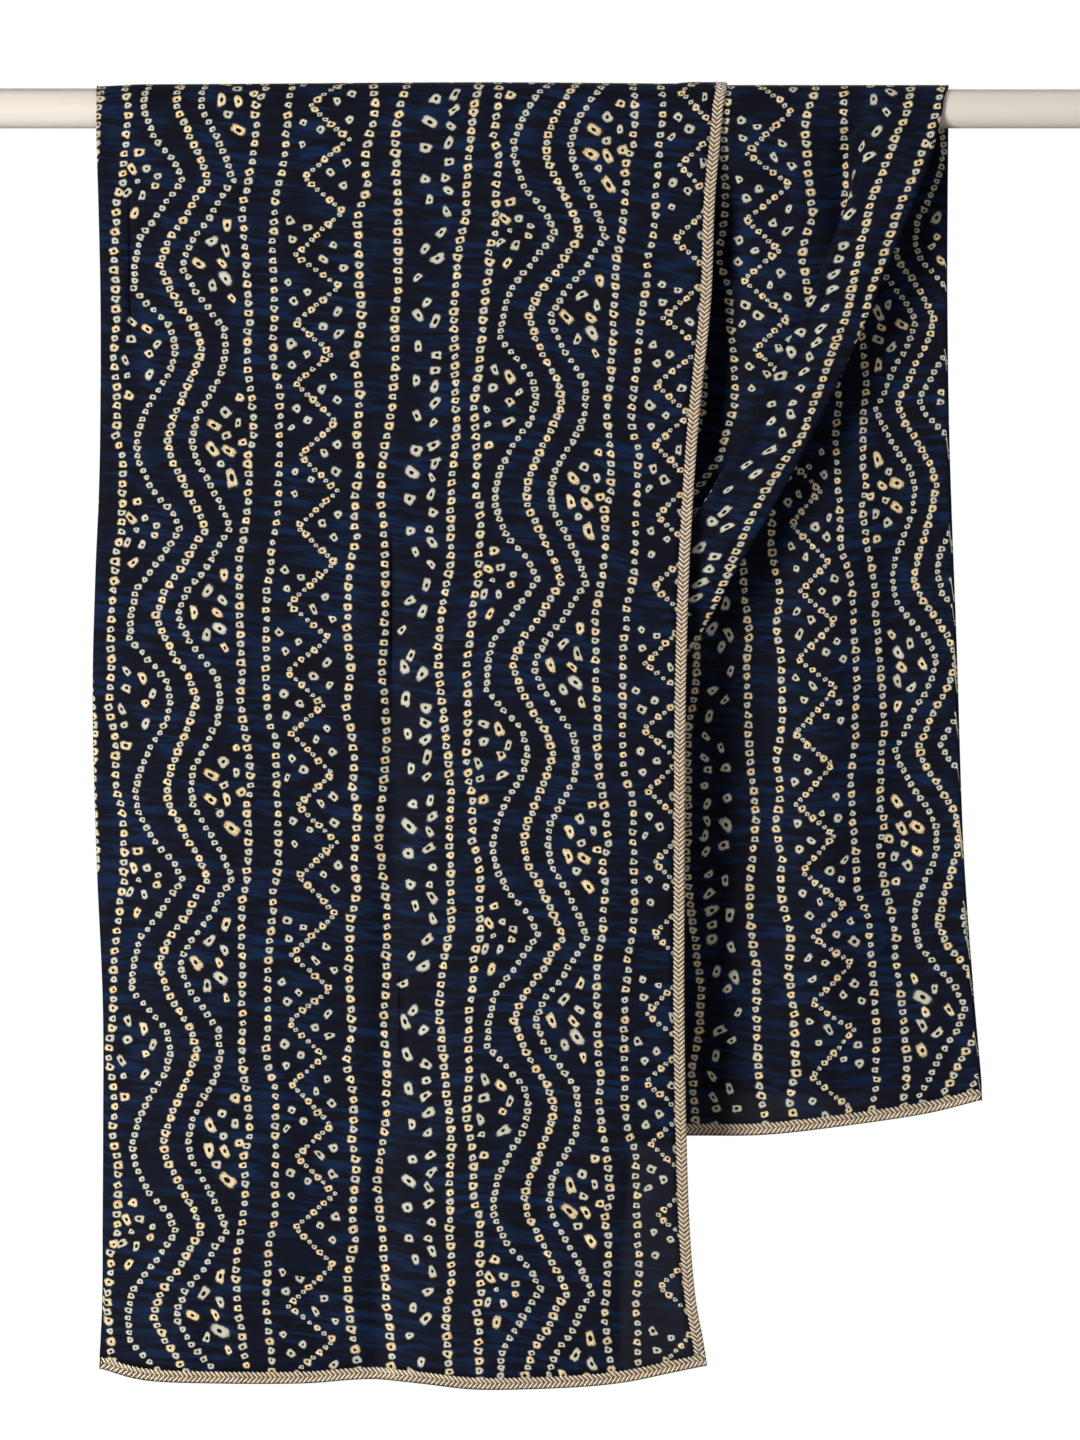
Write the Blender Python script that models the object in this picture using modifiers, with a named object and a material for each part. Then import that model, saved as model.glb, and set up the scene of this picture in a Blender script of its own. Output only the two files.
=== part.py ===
"""A dupatta stole, folded in half along its length and wound over a round rod.

Metres, +Z up. The origin is on the rod's axis, half way along it. The front faces -Y.
The cloth is followed from its front end to its back end:
    front_panel  hangs in front from its hem, and goes back over the left of the rod
    back_fall    hangs behind the rod and narrows down to the bottom of a swag
    side_swag    rises from there in front, and goes back over the right of the rod
    back_panel   hangs behind, down to the other hem
The front and back panels show both of their layers. In the swag the two layers lie
pressed together, as one wall. A braid binds the edges.
"""
import math

import bmesh
import bpy
from mathutils import Vector

# The rod.
ROD_DIAMETER = 0.025
ROD_LENGTH = 0.720
ROD_SIDES = 48

# The cloth and its braid.
CLOTH_WALL = 0.0010
FOLDED_WALL = 0.0018
BRAID_WALL = 0.0012
BRAID_WIDTH = 0.0072
SEAM_GAP = 0.0003

# The layers round the rod, each as the radius of its middle.
ROD_RADIUS = ROD_DIAMETER / 2
LAYER_PITCH_ON_ROD = 0.0014
LAYER_PITCH_HANGING = 0.0036
UNDER_RADIUS = ROD_RADIUS + SEAM_GAP + BRAID_WALL / 2
OUTER_RADIUS = UNDER_RADIUS + LAYER_PITCH_ON_ROD
FOLDED_RADIUS = (UNDER_RADIUS + OUTER_RADIUS) / 2
OVERLAP_RISE = FOLDED_RADIUS + FOLDED_WALL / 2 + SEAM_GAP + BRAID_WALL / 2 - OUTER_RADIUS
ARC_STEPS = 12

# The front panel: z, x of its fold and x of its bound edge. z above 0 stands for the way over the rod.
FRONT_SIDES = (
    (-0.800, -0.2762, 0.1065),
    (-0.772, -0.2745, 0.1022),
    (-0.744, -0.2733, 0.0972),
    (-0.700, -0.2731, 0.0935),
    (-0.640, -0.2728, 0.0915),
    (-0.560, -0.2730, 0.0902),
    (-0.470, -0.2769, 0.0905),
    (-0.370, -0.2794, 0.0911),
    (-0.296, -0.2778, 0.0930),
    (-0.238, -0.2754, 0.0961),
    (-0.190, -0.2746, 0.0998),
    (-0.120, -0.2746, 0.1070),
    (-0.058, -0.2760, 0.1094),
    (-0.018, -0.2772, 0.1130),
    (0.000, -0.2772, 0.1146),
    (0.500, -0.2772, 0.1160),
    (1.000, -0.2772, 0.0975),
)
UNDER_FLAP_EDGE = 0.0490
# The front hem: share of the width from the fold, and z.
FRONT_HEM = (
    (0.00, -0.7880),
    (0.06, -0.7943),
    (0.13, -0.7964),
    (0.33, -0.7970),
    (0.44, -0.7944),
    (0.52, -0.7968),
    (0.60, -0.8003),
    (0.66, -0.8008),
    (0.78, -0.7992),
    (0.86, -0.7962),
    (0.95, -0.7895),
    (1.00, -0.7858),
)
UNDER_FLAP_HEM = ((0.0, -0.7880), (0.2, -0.7850), (1.0, -0.7820))
# The front panel's soft folds: x of the crest, half width, and how far it stands out at the hem.
FRONT_FOLDS = (
    (-0.215, 0.055, 0.0075),
    (-0.020, 0.075, 0.0095),
    (0.070, 0.040, 0.0030),
)
FRONT_LEAN = 0.0045
# Where, down from the rod, the layers stop being pressed together and the folds set in and are full.
LAYERS_LOOSE = (-0.010, -0.120)
LEAN_GROWS = (-0.020, -0.300)
FRONT_FOLDS_GROW = (-0.050, -0.750)
# Where, along x, the front panel climbs over the end of the swag's cloth on the rod.
OVERLAP_STARTS, OVERLAP_FULL = 0.080, 0.097

# The back fall, down to the swag's bottom: x and z of the fold, x and z of the bound edge, how far behind
# the rod's axis, and fold depth.
BACK_FALL = (
    (-0.2772, 0.000, 0.0975, 0.000, FOLDED_RADIUS, 0.0000),
    (-0.2744, -0.058, 0.0890, -0.042, 0.0152, 0.0008),
    (-0.2638, -0.133, 0.0715, -0.089, 0.0150, 0.0022),
    (-0.2425, -0.208, 0.0500, -0.139, 0.0135, 0.0034),
    (-0.2094, -0.277, 0.0290, -0.189, 0.0115, 0.0042),
    (-0.1638, -0.339, 0.0110, -0.234, 0.0090, 0.0046),
    (-0.1075, -0.388, -0.0020, -0.272, 0.0060, 0.0044),
    (-0.0500, -0.413, -0.0060, -0.303, 0.0030, 0.0036),
    (-0.0063, -0.418, 0.0020, -0.323, 0.0010, 0.0026),
    (0.0371, -0.401, 0.0216, -0.328, 0.0000, 0.0016),
)
BACK_FALL_FOLDS = 3
# At the swag's bottom the back fall swings forward at its fold and back at its edge, to meet the side swag.
BOTTOM_SWING = 0.0040
BOTTOM_SWING_STARTS = 0.6
BACK_FALL_END_GAP = 0.0012

# The swag on the right, up from its bottom: x and z of its fold, turn of the section in degrees, how far
# before the rod's axis, then cloth across it: in all, in the front band, and tucked back behind that band;
# last, how far round the tuck turns, in degrees.
SIDE_SWAG = (
    (0.0378, -0.4005, 78, 0.0040, 0.140, 0.041, 0.0325, 176),
    (0.0656, -0.3736, 54, 0.0070, 0.151, 0.041, 0.0338, 176),
    (0.0938, -0.3398, 30, 0.0110, 0.164, 0.041, 0.0350, 176),
    (0.1238, -0.2879, 12, 0.0130, 0.181, 0.041, 0.0350, 176),
    (0.1538, -0.2361, 3, 0.0150, 0.188, 0.041, 0.0350, 176),
    (0.1794, -0.1867, 0, 0.0175, 0.181, 0.041, 0.0312, 174),
    (0.2038, -0.1329, 0, 0.0195, 0.172, 0.039, 0.0200, 168),
    (0.2200, -0.0929, 0, 0.0200, 0.164, 0.038, 0.0110, 150),
    (0.2344, -0.0579, 0, 0.0190, 0.160, 0.038, 0.0080, 100),
    (0.2440, -0.0329, 0, 0.0165, 0.156, 0.038, 0.0060, 45),
    (0.2492, -0.0129, 0, 0.0147, 0.153, 0.038, 0.0050, 12),
    (0.2521, 0.0000, 0, FOLDED_RADIUS, 0.152, 0.038, 0.0050, 0),
)
TUCK_BEND = 0.0060
# The swag's fold slants over the top of the rod: how much wider the cloth lies behind, and by which way.
SWAG_WIDENS = 0.0038
SWAG_WIDENED_BY = 0.5

# The back panel: z, x of its fold, x of its near layer's bound edge and of its far layer's, y of its middle.
BACK_SIDES = (
    (-0.660, 0.2785, -0.0610, -0.0880, 0.0180),
    (-0.615, 0.2771, -0.0610, -0.0880, 0.0180),
    (-0.558, 0.2722, -0.0440, -0.0700, 0.0185),
    (-0.464, 0.2656, -0.0120, -0.0370, 0.0195),
    (-0.339, 0.2614, 0.0250, 0.0020, 0.0205),
    (-0.214, 0.2569, 0.0600, 0.0400, 0.0200),
    (-0.120, 0.2554, 0.0860, 0.0760, 0.0180),
    (-0.058, 0.2555, 0.0985, 0.0960, 0.0155),
    (0.000, 0.2560, 0.1000, 0.1000, FOLDED_RADIUS),
)
# The back hem: share of the width from the fold, and z, first on the near layer and then on the far one.
BACK_NEAR_HEM = (
    (0.00, -0.6212),
    (0.10, -0.6295),
    (0.25, -0.6370),
    (0.40, -0.6427),
    (0.52, -0.6433),
    (0.80, -0.6430),
    (1.00, -0.6390),
)
BACK_FAR_HEM = ((0.00, -0.6212), (0.30, -0.6170), (1.00, -0.6140))
BACK_WAVES = 2.5
BACK_WAVE_DEPTH = 0.0025
BACK_WAVES_GROW = (-0.050, -0.400)

# How finely each sheet is cut into faces: steps across it, and rows along it.
FRONT_OUTER_STEPS, FRONT_UNDER_STEPS, FRONT_ROWS = 13, 8, 17
BACK_LAYER_STEPS, BACK_ROWS = 10, 15
BACK_FALL_STEPS, BACK_FALL_ROWS = 15, 18
TUCK_STEPS, SIDE_SWAG_ROWS = (4, 4, 3, 4, 7), 19
NOSE_STEPS = 4
BRAID_STEPS = 2
ROWS_CLOSER_TO_ROD = 1.25
WALK_STEPS = 12

COLLECTION = "dupatta_stole_on_rod"


def lerp(start, end, share):
    return start + (end - start) * share


def smooth(start, end, value):
    """0 before start, 1 after end, and an S-shaped rise between them."""
    share = min(max((value - start) / (end - start), 0.0), 1.0)
    return share * share * (3 - 2 * share)


def read_rows(rows, key):
    """The columns of a table after its first, at `key`, on a smooth curve through its rows."""
    last = len(rows) - 2
    index = max(i for i in range(last + 1) if i == 0 or rows[i][0] <= key)
    before, low, high, after = (rows[min(max(index + step, 0), last + 1)] for step in (-1, 0, 1, 2))
    span = high[0] - low[0]
    share = min(max((key - low[0]) / span, 0.0), 1.0)
    values = []
    for column in range(1, len(low)):
        rise_in = span * (high[column] - before[column]) / (high[0] - before[0])
        rise_out = span * (after[column] - low[column]) / (after[0] - low[0])
        curve = (
            (2 * share**3 - 3 * share**2 + 1) * low[column]
            + (share**3 - 2 * share**2 + share) * rise_in
            + (3 * share**2 - 2 * share**3) * high[column]
            + (share**3 - share**2) * rise_out
        )
        values.append(curve)
    return values


def numbered(rows):
    """A table's rows with their own number, from 0 to 1, as a first column."""
    return [(number / (len(rows) - 1), *row) for number, row in enumerate(rows)]


def even_steps(start, end, count):
    return [lerp(start, end, step / count) for step in range(count + 1)]


def over_rod(x, way, radius):
    """A point on the way over the rod: way is z in front (below 0), then 0 to 1 half round the rod."""
    if way < 0:
        return Vector((x, -radius, way))
    angle = math.pi * way
    return Vector((x, -radius * math.cos(angle), radius * math.sin(angle)))


# Across a lengthwise fold, a station is (layer, share): layer "outer" or "under" with a share of the width
# from the fold to the bound edge, or "nose" with the angle round the fold.
def fold_stations(outer_steps, under_steps):
    outer = [("outer", share) for share in even_steps(1.0, 0.0, outer_steps)]
    nose = [("nose", angle) for angle in even_steps(math.pi / 2, -math.pi / 2, NOSE_STEPS)[1:-1]]
    under = [("under", share) for share in even_steps(0.0, 1.0, under_steps)]
    return outer + nose + under


def layer_pitch(z):
    """How far apart the middles of two layers lie at height z: pressed together at the rod, looser below."""
    return lerp(LAYER_PITCH_ON_ROD, LAYER_PITCH_HANGING, smooth(*LAYERS_LOOSE, z))


def inside_binding(station, fold_x, outer_x, under_x):
    """The station on cloth that stops short of the bound edges, as a station on the whole width."""
    layer, share = station
    if layer == "nose":
        return station
    width = abs((outer_x if layer == "outer" else under_x) - fold_x)
    return layer, share * (1 - (BRAID_WIDTH + SEAM_GAP) / width)


def fold_offset(station, fold_x, outer_x, under_x, pitch):
    """x, and the offset outwards from the middle of the two layers, of a station across the fold."""
    layer, share = station
    radius = pitch / 2
    side = 1 if outer_x > fold_x else -1
    if layer == "nose":
        return fold_x + side * radius * (1 - math.cos(share)), radius * math.sin(share)
    if layer == "outer":
        return lerp(fold_x + side * radius, outer_x, share), radius
    return lerp(fold_x + side * radius, under_x, share), -radius


def front_point(station, way, cloth=True):
    """A point of the front panel. With cloth False the bound edges count as part of the width."""
    fold_x, edge_x = read_rows(FRONT_SIDES, way)
    if cloth:
        station = inside_binding(station, fold_x, edge_x, UNDER_FLAP_EDGE)
    z = min(way, 0.0)
    pitch = layer_pitch(z)
    x, offset = fold_offset(station, fold_x, edge_x, UNDER_FLAP_EDGE, pitch)
    lift = OVERLAP_RISE * smooth(OVERLAP_STARTS, OVERLAP_FULL, x) + FRONT_LEAN * smooth(*LEAN_GROWS, z)
    for crest, half_width, depth in FRONT_FOLDS:
        lift += depth * smooth(*FRONT_FOLDS_GROW, z) * math.exp(-(((x - crest) / half_width) ** 2))
    return over_rod(x, way, UNDER_RADIUS + pitch / 2 + offset + lift)


def front_hem(station):
    layer, share = station
    if layer == "nose":
        return FRONT_HEM[0][1]
    return read_rows(FRONT_HEM if layer == "outer" else UNDER_FLAP_HEM, share)[0]


def front_ways(first):
    """The way up a front panel's column from z `first`, closer together near the rod."""
    hanging = [first * (1 - row / FRONT_ROWS) ** ROWS_CLOSER_TO_ROD for row in range(FRONT_ROWS)]
    return hanging + even_steps(0.0, 1.0, ARC_STEPS)


def back_fall_point(share, height, cloth=True):
    """share runs from the fold to the bound edge, height from the rod (0) to the swag's bottom (1)."""
    fold_x, fold_z, edge_x, edge_z, y, fold_depth = read_rows(numbered(BACK_FALL), height)
    fold, edge = Vector((fold_x, 0, fold_z)), Vector((edge_x, 0, edge_z))
    if cloth:
        share *= 1 - (BRAID_WIDTH + SEAM_GAP) / (edge - fold).length
    point = fold.lerp(edge, share)
    wave = math.sin(2 * math.pi * BACK_FALL_FOLDS * share) * math.sin(math.pi * share)
    swing = BOTTOM_SWING * smooth(BOTTOM_SWING_STARTS, 1.0, height) * (2 * share - 1)
    point.y = y + fold_depth * wave + swing
    return point


def side_swag_section(row, distances):
    """The swag's section as (across, behind) of its fold, at each distance of cloth from that fold."""
    _, _, _, _, total, band, tuck, turn = row
    first, second = band, band + TUCK_BEND + tuck
    points, across, behind, walked = [], 0.0, 0.0, 0.0
    for distance in distances:
        step = (distance * total - walked) / WALK_STEPS
        for _ in range(WALK_STEPS):
            middle = walked + step / 2
            into = min(max((middle - first) / TUCK_BEND, 0.0), 1.0)
            out_of = min(max((middle - second) / TUCK_BEND, 0.0), 1.0)
            heading = math.radians(turn) * (into - out_of)
            across += step * math.cos(heading)
            behind += step * math.sin(heading)
            walked += step
        points.append((across, behind))
    return points


def side_swag_stations(row):
    """Shares of the cloth across the swag, close together in the tuck's two bends."""
    _, _, _, _, total, band, tuck, _ = row
    turns = (0.0, band, band + TUCK_BEND, band + TUCK_BEND + tuck, band + 2 * TUCK_BEND + tuck, total)
    stations = [0.0]
    for start, end, count in zip(turns, turns[1:], TUCK_STEPS):
        stations += [value / total for value in even_steps(start, end, count)[1:]]
    return stations


def swag_x(front_row, point, way):
    """x, on the way over the rod, of a point of the row that lies in front of it."""
    left, right = front_row[-1].x, front_row[0].x
    return point.x + SWAG_WIDENS * smooth(0.0, SWAG_WIDENED_BY, way) * (point.x - left) / (right - left)


def side_swag_points():
    """Columns of points across the swag, a row of them for each step up it and over the rod."""
    rows = []
    table = numbered(SIDE_SWAG)
    for height in even_steps(0.0, 1.0, SIDE_SWAG_ROWS):
        row = read_rows(table, height)
        x, z, slant, before, *_ = row
        lean = math.radians(slant)
        section = side_swag_section(row, side_swag_stations(row))
        rows.append(
            [
                Vector((x - across * math.cos(lean), behind - before, z + across * math.sin(lean)))
                for across, behind in section
            ]
        )
    front_row = rows[SIDE_SWAG_ROWS]
    for way in even_steps(0.0, 1.0, ARC_STEPS)[1:]:
        rows.append([over_rod(swag_x(front_row, point, way), way, FOLDED_RADIUS) for point in front_row])
    return rows


def back_point(station, z, cloth=True):
    """A point of the back panel, whose outer layer is its near one. z is as it hangs."""
    fold_x, near_x, far_x, middle = read_rows(BACK_SIDES, z)
    if cloth:
        station = inside_binding(station, fold_x, near_x, far_x)
    x, offset = fold_offset(station, fold_x, near_x, far_x, layer_pitch(z))
    wave = math.sin(2 * math.pi * BACK_WAVES * (fold_x - x) / (fold_x - far_x))
    depth = BACK_WAVE_DEPTH * smooth(*BACK_WAVES_GROW, z) * wave
    return Vector((x, middle - offset + depth, z))


def back_hem(station):
    layer, share = station
    if layer == "nose":
        return BACK_NEAR_HEM[0][1]
    return read_rows(BACK_NEAR_HEM if layer == "outer" else BACK_FAR_HEM, share)[0]


def make_material(name, colour, roughness, metallic):
    material = bpy.data.materials.new(name)
    material.use_nodes = True
    shader = material.node_tree.nodes["Principled BSDF"]
    shader.inputs["Base Color"].default_value = (*colour, 1.0)
    shader.inputs["Roughness"].default_value = roughness
    shader.inputs["Metallic"].default_value = metallic
    return material


def make_sheet(collection, name, columns, wall, material):
    """A wall of cloth or braid through columns of points, half of its thickness on each side of them."""
    mesh = bpy.data.meshes.new(name)
    sheet = bmesh.new()
    across, along = len(columns) - 1, len(columns[0]) - 1
    bmesh.ops.create_grid(sheet, x_segments=across, y_segments=along, size=1.0)
    for vertex in sheet.verts:
        column = round((vertex.co.x + 1) / 2 * across)
        row = round((vertex.co.y + 1) / 2 * along)
        vertex.co = columns[column][row]
    sheet.to_mesh(mesh)
    sheet.free()
    mesh.materials.append(material)
    part = bpy.data.objects.new(name, mesh)
    collection.objects.link(part)
    solidify = part.modifiers.new("wall", "SOLIDIFY")
    solidify.thickness = wall
    solidify.offset = 0.0
    return part


def braid_stations(layer, fold_x, edge_x):
    """Stations across a bound edge, as shares of the width from the fold."""
    inner = 1 - BRAID_WIDTH / abs(edge_x - fold_x)
    return [(layer, share) for share in even_steps(1.0, inner, BRAID_STEPS)]


def make_rod(collection, material):
    mesh = bpy.data.meshes.new("rod")
    rod = bmesh.new()
    bmesh.ops.create_cone(
        rod, cap_ends=True, segments=ROD_SIDES, radius1=ROD_RADIUS, radius2=ROD_RADIUS, depth=ROD_LENGTH
    )
    rod.to_mesh(mesh)
    rod.free()
    mesh.materials.append(material)
    part = bpy.data.objects.new("rod", mesh)
    part.rotation_euler = (0.0, math.pi / 2, 0.0)
    collection.objects.link(part)
    mesh.shade_smooth()
    mesh.set_sharp_from_angle(angle=math.radians(40))


def make_front_panel(collection, cloth, braid):
    lift = BRAID_WIDTH + SEAM_GAP
    fold_x, edge_x = read_rows(FRONT_SIDES, FRONT_HEM[0][1])
    columns, hem_columns = [], []
    for station in fold_stations(FRONT_OUTER_STEPS, FRONT_UNDER_STEPS):
        on_whole = inside_binding(station, fold_x, edge_x, UNDER_FLAP_EDGE)
        hem = front_hem(on_whole)
        columns.append([front_point(station, way) for way in front_ways(hem + lift)])
        hem_columns.append([front_point(on_whole, z, cloth=False) for z in (hem, hem + BRAID_WIDTH)])
    make_sheet(collection, "front_panel", columns, CLOTH_WALL, cloth)
    corners = []
    for station in (("outer", 1.0), ("under", 1.0)):
        hem = front_hem(station)
        corners.append([front_point(station, z, cloth=False) for z in (hem, hem + BRAID_WIDTH)])
    make_sheet(collection, "braid_front_hem", [corners[0], *hem_columns, corners[1]], BRAID_WALL, braid)

    edges = (
        ("braid_front_edge", "outer", FRONT_HEM[-1][1]),
        ("braid_under_flap_edge", "under", UNDER_FLAP_HEM[-1][1]),
    )
    for name, layer, hem in edges:
        rows = []
        for way in front_ways(hem + lift):
            fold_x, edge_x = read_rows(FRONT_SIDES, way)
            if layer == "under":
                edge_x = UNDER_FLAP_EDGE
            rows.append(
                [front_point(station, way, cloth=False) for station in braid_stations(layer, fold_x, edge_x)]
            )
        make_sheet(collection, name, list(zip(*rows)), BRAID_WALL, braid)


def make_back_fall(collection, cloth, braid):
    heights = even_steps(BACK_FALL_END_GAP, 1 - BACK_FALL_END_GAP, BACK_FALL_ROWS)
    columns = []
    for share in even_steps(0.0, 1.0, BACK_FALL_STEPS):
        columns.append([back_fall_point(share, height) for height in heights])
    make_sheet(collection, "back_fall", columns, FOLDED_WALL, cloth)
    columns = []
    for inward in even_steps(BRAID_WIDTH, 0.0, BRAID_STEPS):
        column = []
        for height in heights:
            fold_x, fold_z, edge_x, edge_z, *_ = read_rows(numbered(BACK_FALL), height)
            width = math.hypot(edge_x - fold_x, edge_z - fold_z)
            column.append(back_fall_point(1 - inward / width, height, cloth=False))
        columns.append(column)
    make_sheet(collection, "braid_back_fall_edge", columns, BRAID_WALL, braid)


def make_back_panel(collection, cloth, braid):
    lift = BRAID_WIDTH + SEAM_GAP
    top = -SEAM_GAP
    fold_x, near_x, far_x, _ = read_rows(BACK_SIDES, BACK_NEAR_HEM[0][1])
    columns, hem_columns = [], []
    for station in fold_stations(BACK_LAYER_STEPS, BACK_LAYER_STEPS):
        on_whole = inside_binding(station, fold_x, near_x, far_x)
        hem = back_hem(on_whole)
        columns.append([back_point(station, z) for z in even_steps(hem + lift, top, BACK_ROWS)])
        hem_columns.append([back_point(on_whole, z, cloth=False) for z in (hem, hem + BRAID_WIDTH)])
    make_sheet(collection, "back_panel", columns, CLOTH_WALL, cloth)
    corners = []
    for station in (("outer", 1.0), ("under", 1.0)):
        hem = back_hem(station)
        corners.append([back_point(station, z, cloth=False) for z in (hem, hem + BRAID_WIDTH)])
    make_sheet(collection, "braid_back_hem", [corners[0], *hem_columns, corners[1]], BRAID_WALL, braid)

    edges = (
        ("braid_back_near_edge", "outer", BACK_NEAR_HEM[-1][1], 1),
        ("braid_back_far_edge", "under", BACK_FAR_HEM[-1][1], 2),
    )
    for name, layer, hem, edge_column in edges:
        rows = []
        for z in even_steps(hem + lift, top, BACK_ROWS):
            sides = read_rows(BACK_SIDES, z)
            stations = braid_stations(layer, sides[0], sides[edge_column])
            rows.append([back_point(station, z, cloth=False) for station in stations])
        make_sheet(collection, name, list(zip(*rows)), BRAID_WALL, braid)


def main():
    for old in list(bpy.data.objects):
        bpy.data.objects.remove(old)
    collection = bpy.data.collections.new(COLLECTION)
    bpy.context.scene.collection.children.link(collection)

    cloth = make_material("printed_cloth", (0.010, 0.014, 0.032), 0.75, 0.0)
    braid = make_material("metallic_braid", (0.62, 0.50, 0.33), 0.35, 0.85)
    painted = make_material("cream_rod", (0.78, 0.74, 0.68), 0.40, 0.0)

    make_rod(collection, painted)
    make_front_panel(collection, cloth, braid)
    make_back_fall(collection, cloth, braid)
    make_sheet(collection, "side_swag", list(zip(*side_swag_points())), FOLDED_WALL, cloth)
    make_back_panel(collection, cloth, braid)


main()
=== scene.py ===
"""The looks of a dupatta stole that hangs folded over a round rod.

Metres, +Z up, front towards -Y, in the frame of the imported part. Each stretch of cloth is a thin
shell on the form of its solid, with its own creases. The braid that binds the edges is plied from
single strands. The tie-dyed print is one material: it reads each sheet's own place in the cloth,
as millimetres across it and along it.
"""

import math

import bmesh
import bpy
from mathutils import Matrix, Vector


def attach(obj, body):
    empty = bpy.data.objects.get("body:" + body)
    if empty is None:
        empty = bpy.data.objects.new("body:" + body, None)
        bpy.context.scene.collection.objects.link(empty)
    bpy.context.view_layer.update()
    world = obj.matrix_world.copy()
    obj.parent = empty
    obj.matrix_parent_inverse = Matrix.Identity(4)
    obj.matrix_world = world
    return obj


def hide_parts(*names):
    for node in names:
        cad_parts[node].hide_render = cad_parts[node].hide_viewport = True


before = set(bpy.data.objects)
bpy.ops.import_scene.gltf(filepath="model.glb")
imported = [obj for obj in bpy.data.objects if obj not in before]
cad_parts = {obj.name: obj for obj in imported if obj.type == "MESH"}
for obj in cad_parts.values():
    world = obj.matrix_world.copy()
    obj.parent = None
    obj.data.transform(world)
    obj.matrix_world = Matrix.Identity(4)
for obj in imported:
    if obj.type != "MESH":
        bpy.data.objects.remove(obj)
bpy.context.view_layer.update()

# Round the rod: the radius of each layer's middle, and that of two layers taken as one.
UNDER_RADIUS = 0.0134
OUTER_RADIUS = 0.0148
FOLDED_RADIUS = 0.0141
HALF_TURN = math.pi * FOLDED_RADIUS
# How far apart the middles of two layers lie, and over which heights they come loose.
LAYER_PITCH_ON_ROD = 0.0014
LAYER_PITCH_HANGING = 0.0036
LAYERS_LOOSE = (-0.010, -0.120)
# The back panel stops this far below the stretches that come over the rod.
SEAM_GAP = 0.00004

# The cloth and the braid, and how far the cloth is tucked under it.
CLOTH_THICKNESS = 0.0005
FOLDED_THICKNESS = 0.0012
BRAID_WIDTH = 0.0072
TUCKED_UNDER = 0.0005
BINDING_SHOWS = BRAID_WIDTH - TUCKED_UNDER

# The front panel: z, x of its fold and x of its bound edge. z above 0 stands for the way over the rod.
FRONT_SIDES = (
    (-0.800, -0.2762, 0.1065),
    (-0.772, -0.2745, 0.1022),
    (-0.744, -0.2733, 0.0972),
    (-0.700, -0.2731, 0.0935),
    (-0.640, -0.2728, 0.0915),
    (-0.560, -0.2730, 0.0902),
    (-0.470, -0.2769, 0.0905),
    (-0.370, -0.2794, 0.0911),
    (-0.296, -0.2778, 0.0930),
    (-0.238, -0.2754, 0.0961),
    (-0.190, -0.2746, 0.0998),
    (-0.120, -0.2746, 0.1070),
    (-0.058, -0.2760, 0.1094),
    (-0.018, -0.2772, 0.1130),
    (0.000, -0.2772, 0.1146),
    (0.500, -0.2772, 0.1160),
    (1.000, -0.2772, 0.0975),
)
# x of the under flap's bound edge, and both layers' hems: share of the width from the fold, and z.
UNDER_FLAP_EDGE = 0.0490
FRONT_HEM = (
    (0.00, -0.7880),
    (0.06, -0.7943),
    (0.13, -0.7964),
    (0.33, -0.7970),
    (0.44, -0.7944),
    (0.52, -0.7968),
    (0.60, -0.8003),
    (0.66, -0.8008),
    (0.78, -0.7992),
    (0.86, -0.7962),
    (0.95, -0.7895),
    (1.00, -0.7858),
)
UNDER_FLAP_HEM = ((0.0, -0.7880), (0.2, -0.7850), (1.0, -0.7820))
# Its soft folds: x of the crest, half width, and how far it stands out at the hem. Then the heights over
# which they grow.
FRONT_FOLDS = (
    (-0.215, 0.055, 0.0075),
    (-0.020, 0.075, 0.0095),
    (0.070, 0.040, 0.0030),
)
FRONT_FOLDS_GROW = (-0.050, -0.750)
# How far it leans out, and over which heights. How far it rises over the swag, and from which x to which.
FRONT_LEAN, LEAN_GROWS = 0.0045, (-0.020, -0.300)
OVERLAP_RISE, OVERLAP_GROWS = 0.0011, (0.080, 0.097)
# Over the rod its fold is pressed flat, and its upper layer billows in the middle: x and half width.
PRESSED_FROM = (-0.050, -0.005)
FOLD_PRESSED, PRESSED_WIDTH = 0.0012, 0.030
TOP_BILLOW = 0.0014
BILLOW_PLACE = (-0.040, 0.130)
# How far its under layer follows the outer one's pressing and its creases.
UNDER_PRESSED, UNDER_CREASED = 0.4, 0.7

# The back fall: x and z of the fold, x and z of the bound edge, how far behind the rod's axis, fold depth.
BACK_FALL = (
    (-0.2772, 0.000, 0.0975, 0.000, FOLDED_RADIUS, 0.0000),
    (-0.2744, -0.058, 0.0890, -0.042, 0.0152, 0.0008),
    (-0.2638, -0.133, 0.0715, -0.089, 0.0150, 0.0022),
    (-0.2425, -0.208, 0.0500, -0.139, 0.0135, 0.0034),
    (-0.2094, -0.277, 0.0290, -0.189, 0.0115, 0.0042),
    (-0.1638, -0.339, 0.0110, -0.234, 0.0090, 0.0046),
    (-0.1075, -0.388, -0.0020, -0.272, 0.0060, 0.0044),
    (-0.0500, -0.413, -0.0060, -0.303, 0.0030, 0.0036),
    (-0.0063, -0.418, 0.0020, -0.323, 0.0010, 0.0026),
    (0.0371, -0.401, 0.0216, -0.328, 0.0000, 0.0016),
)
# Across it lie this many folds, and finer ripples that grow on its way down: how deep, and how many
# radians of them lie across it and down it.
BACK_FALL_FOLDS = 3
RIPPLE_DEPTH, RIPPLES_ACROSS, RIPPLES_DOWN = 0.0009, 37, 6
RIPPLE_GROWS = (0.08, 0.5)
# Its lower part swings, the fold forwards and the bound edge back.
BOTTOM_SWING = 0.0040
BOTTOM_SWING_STARTS = 0.6
# How far its ends stop short, as a share of its way down.
BACK_FALL_END_GAP = 0.0001
# The cloth across it from its bound edge, and where its print starts.
BACK_FALL_CLOTH, BACK_FALL_PRINT_STARTS = 0.366, 0.0075

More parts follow.
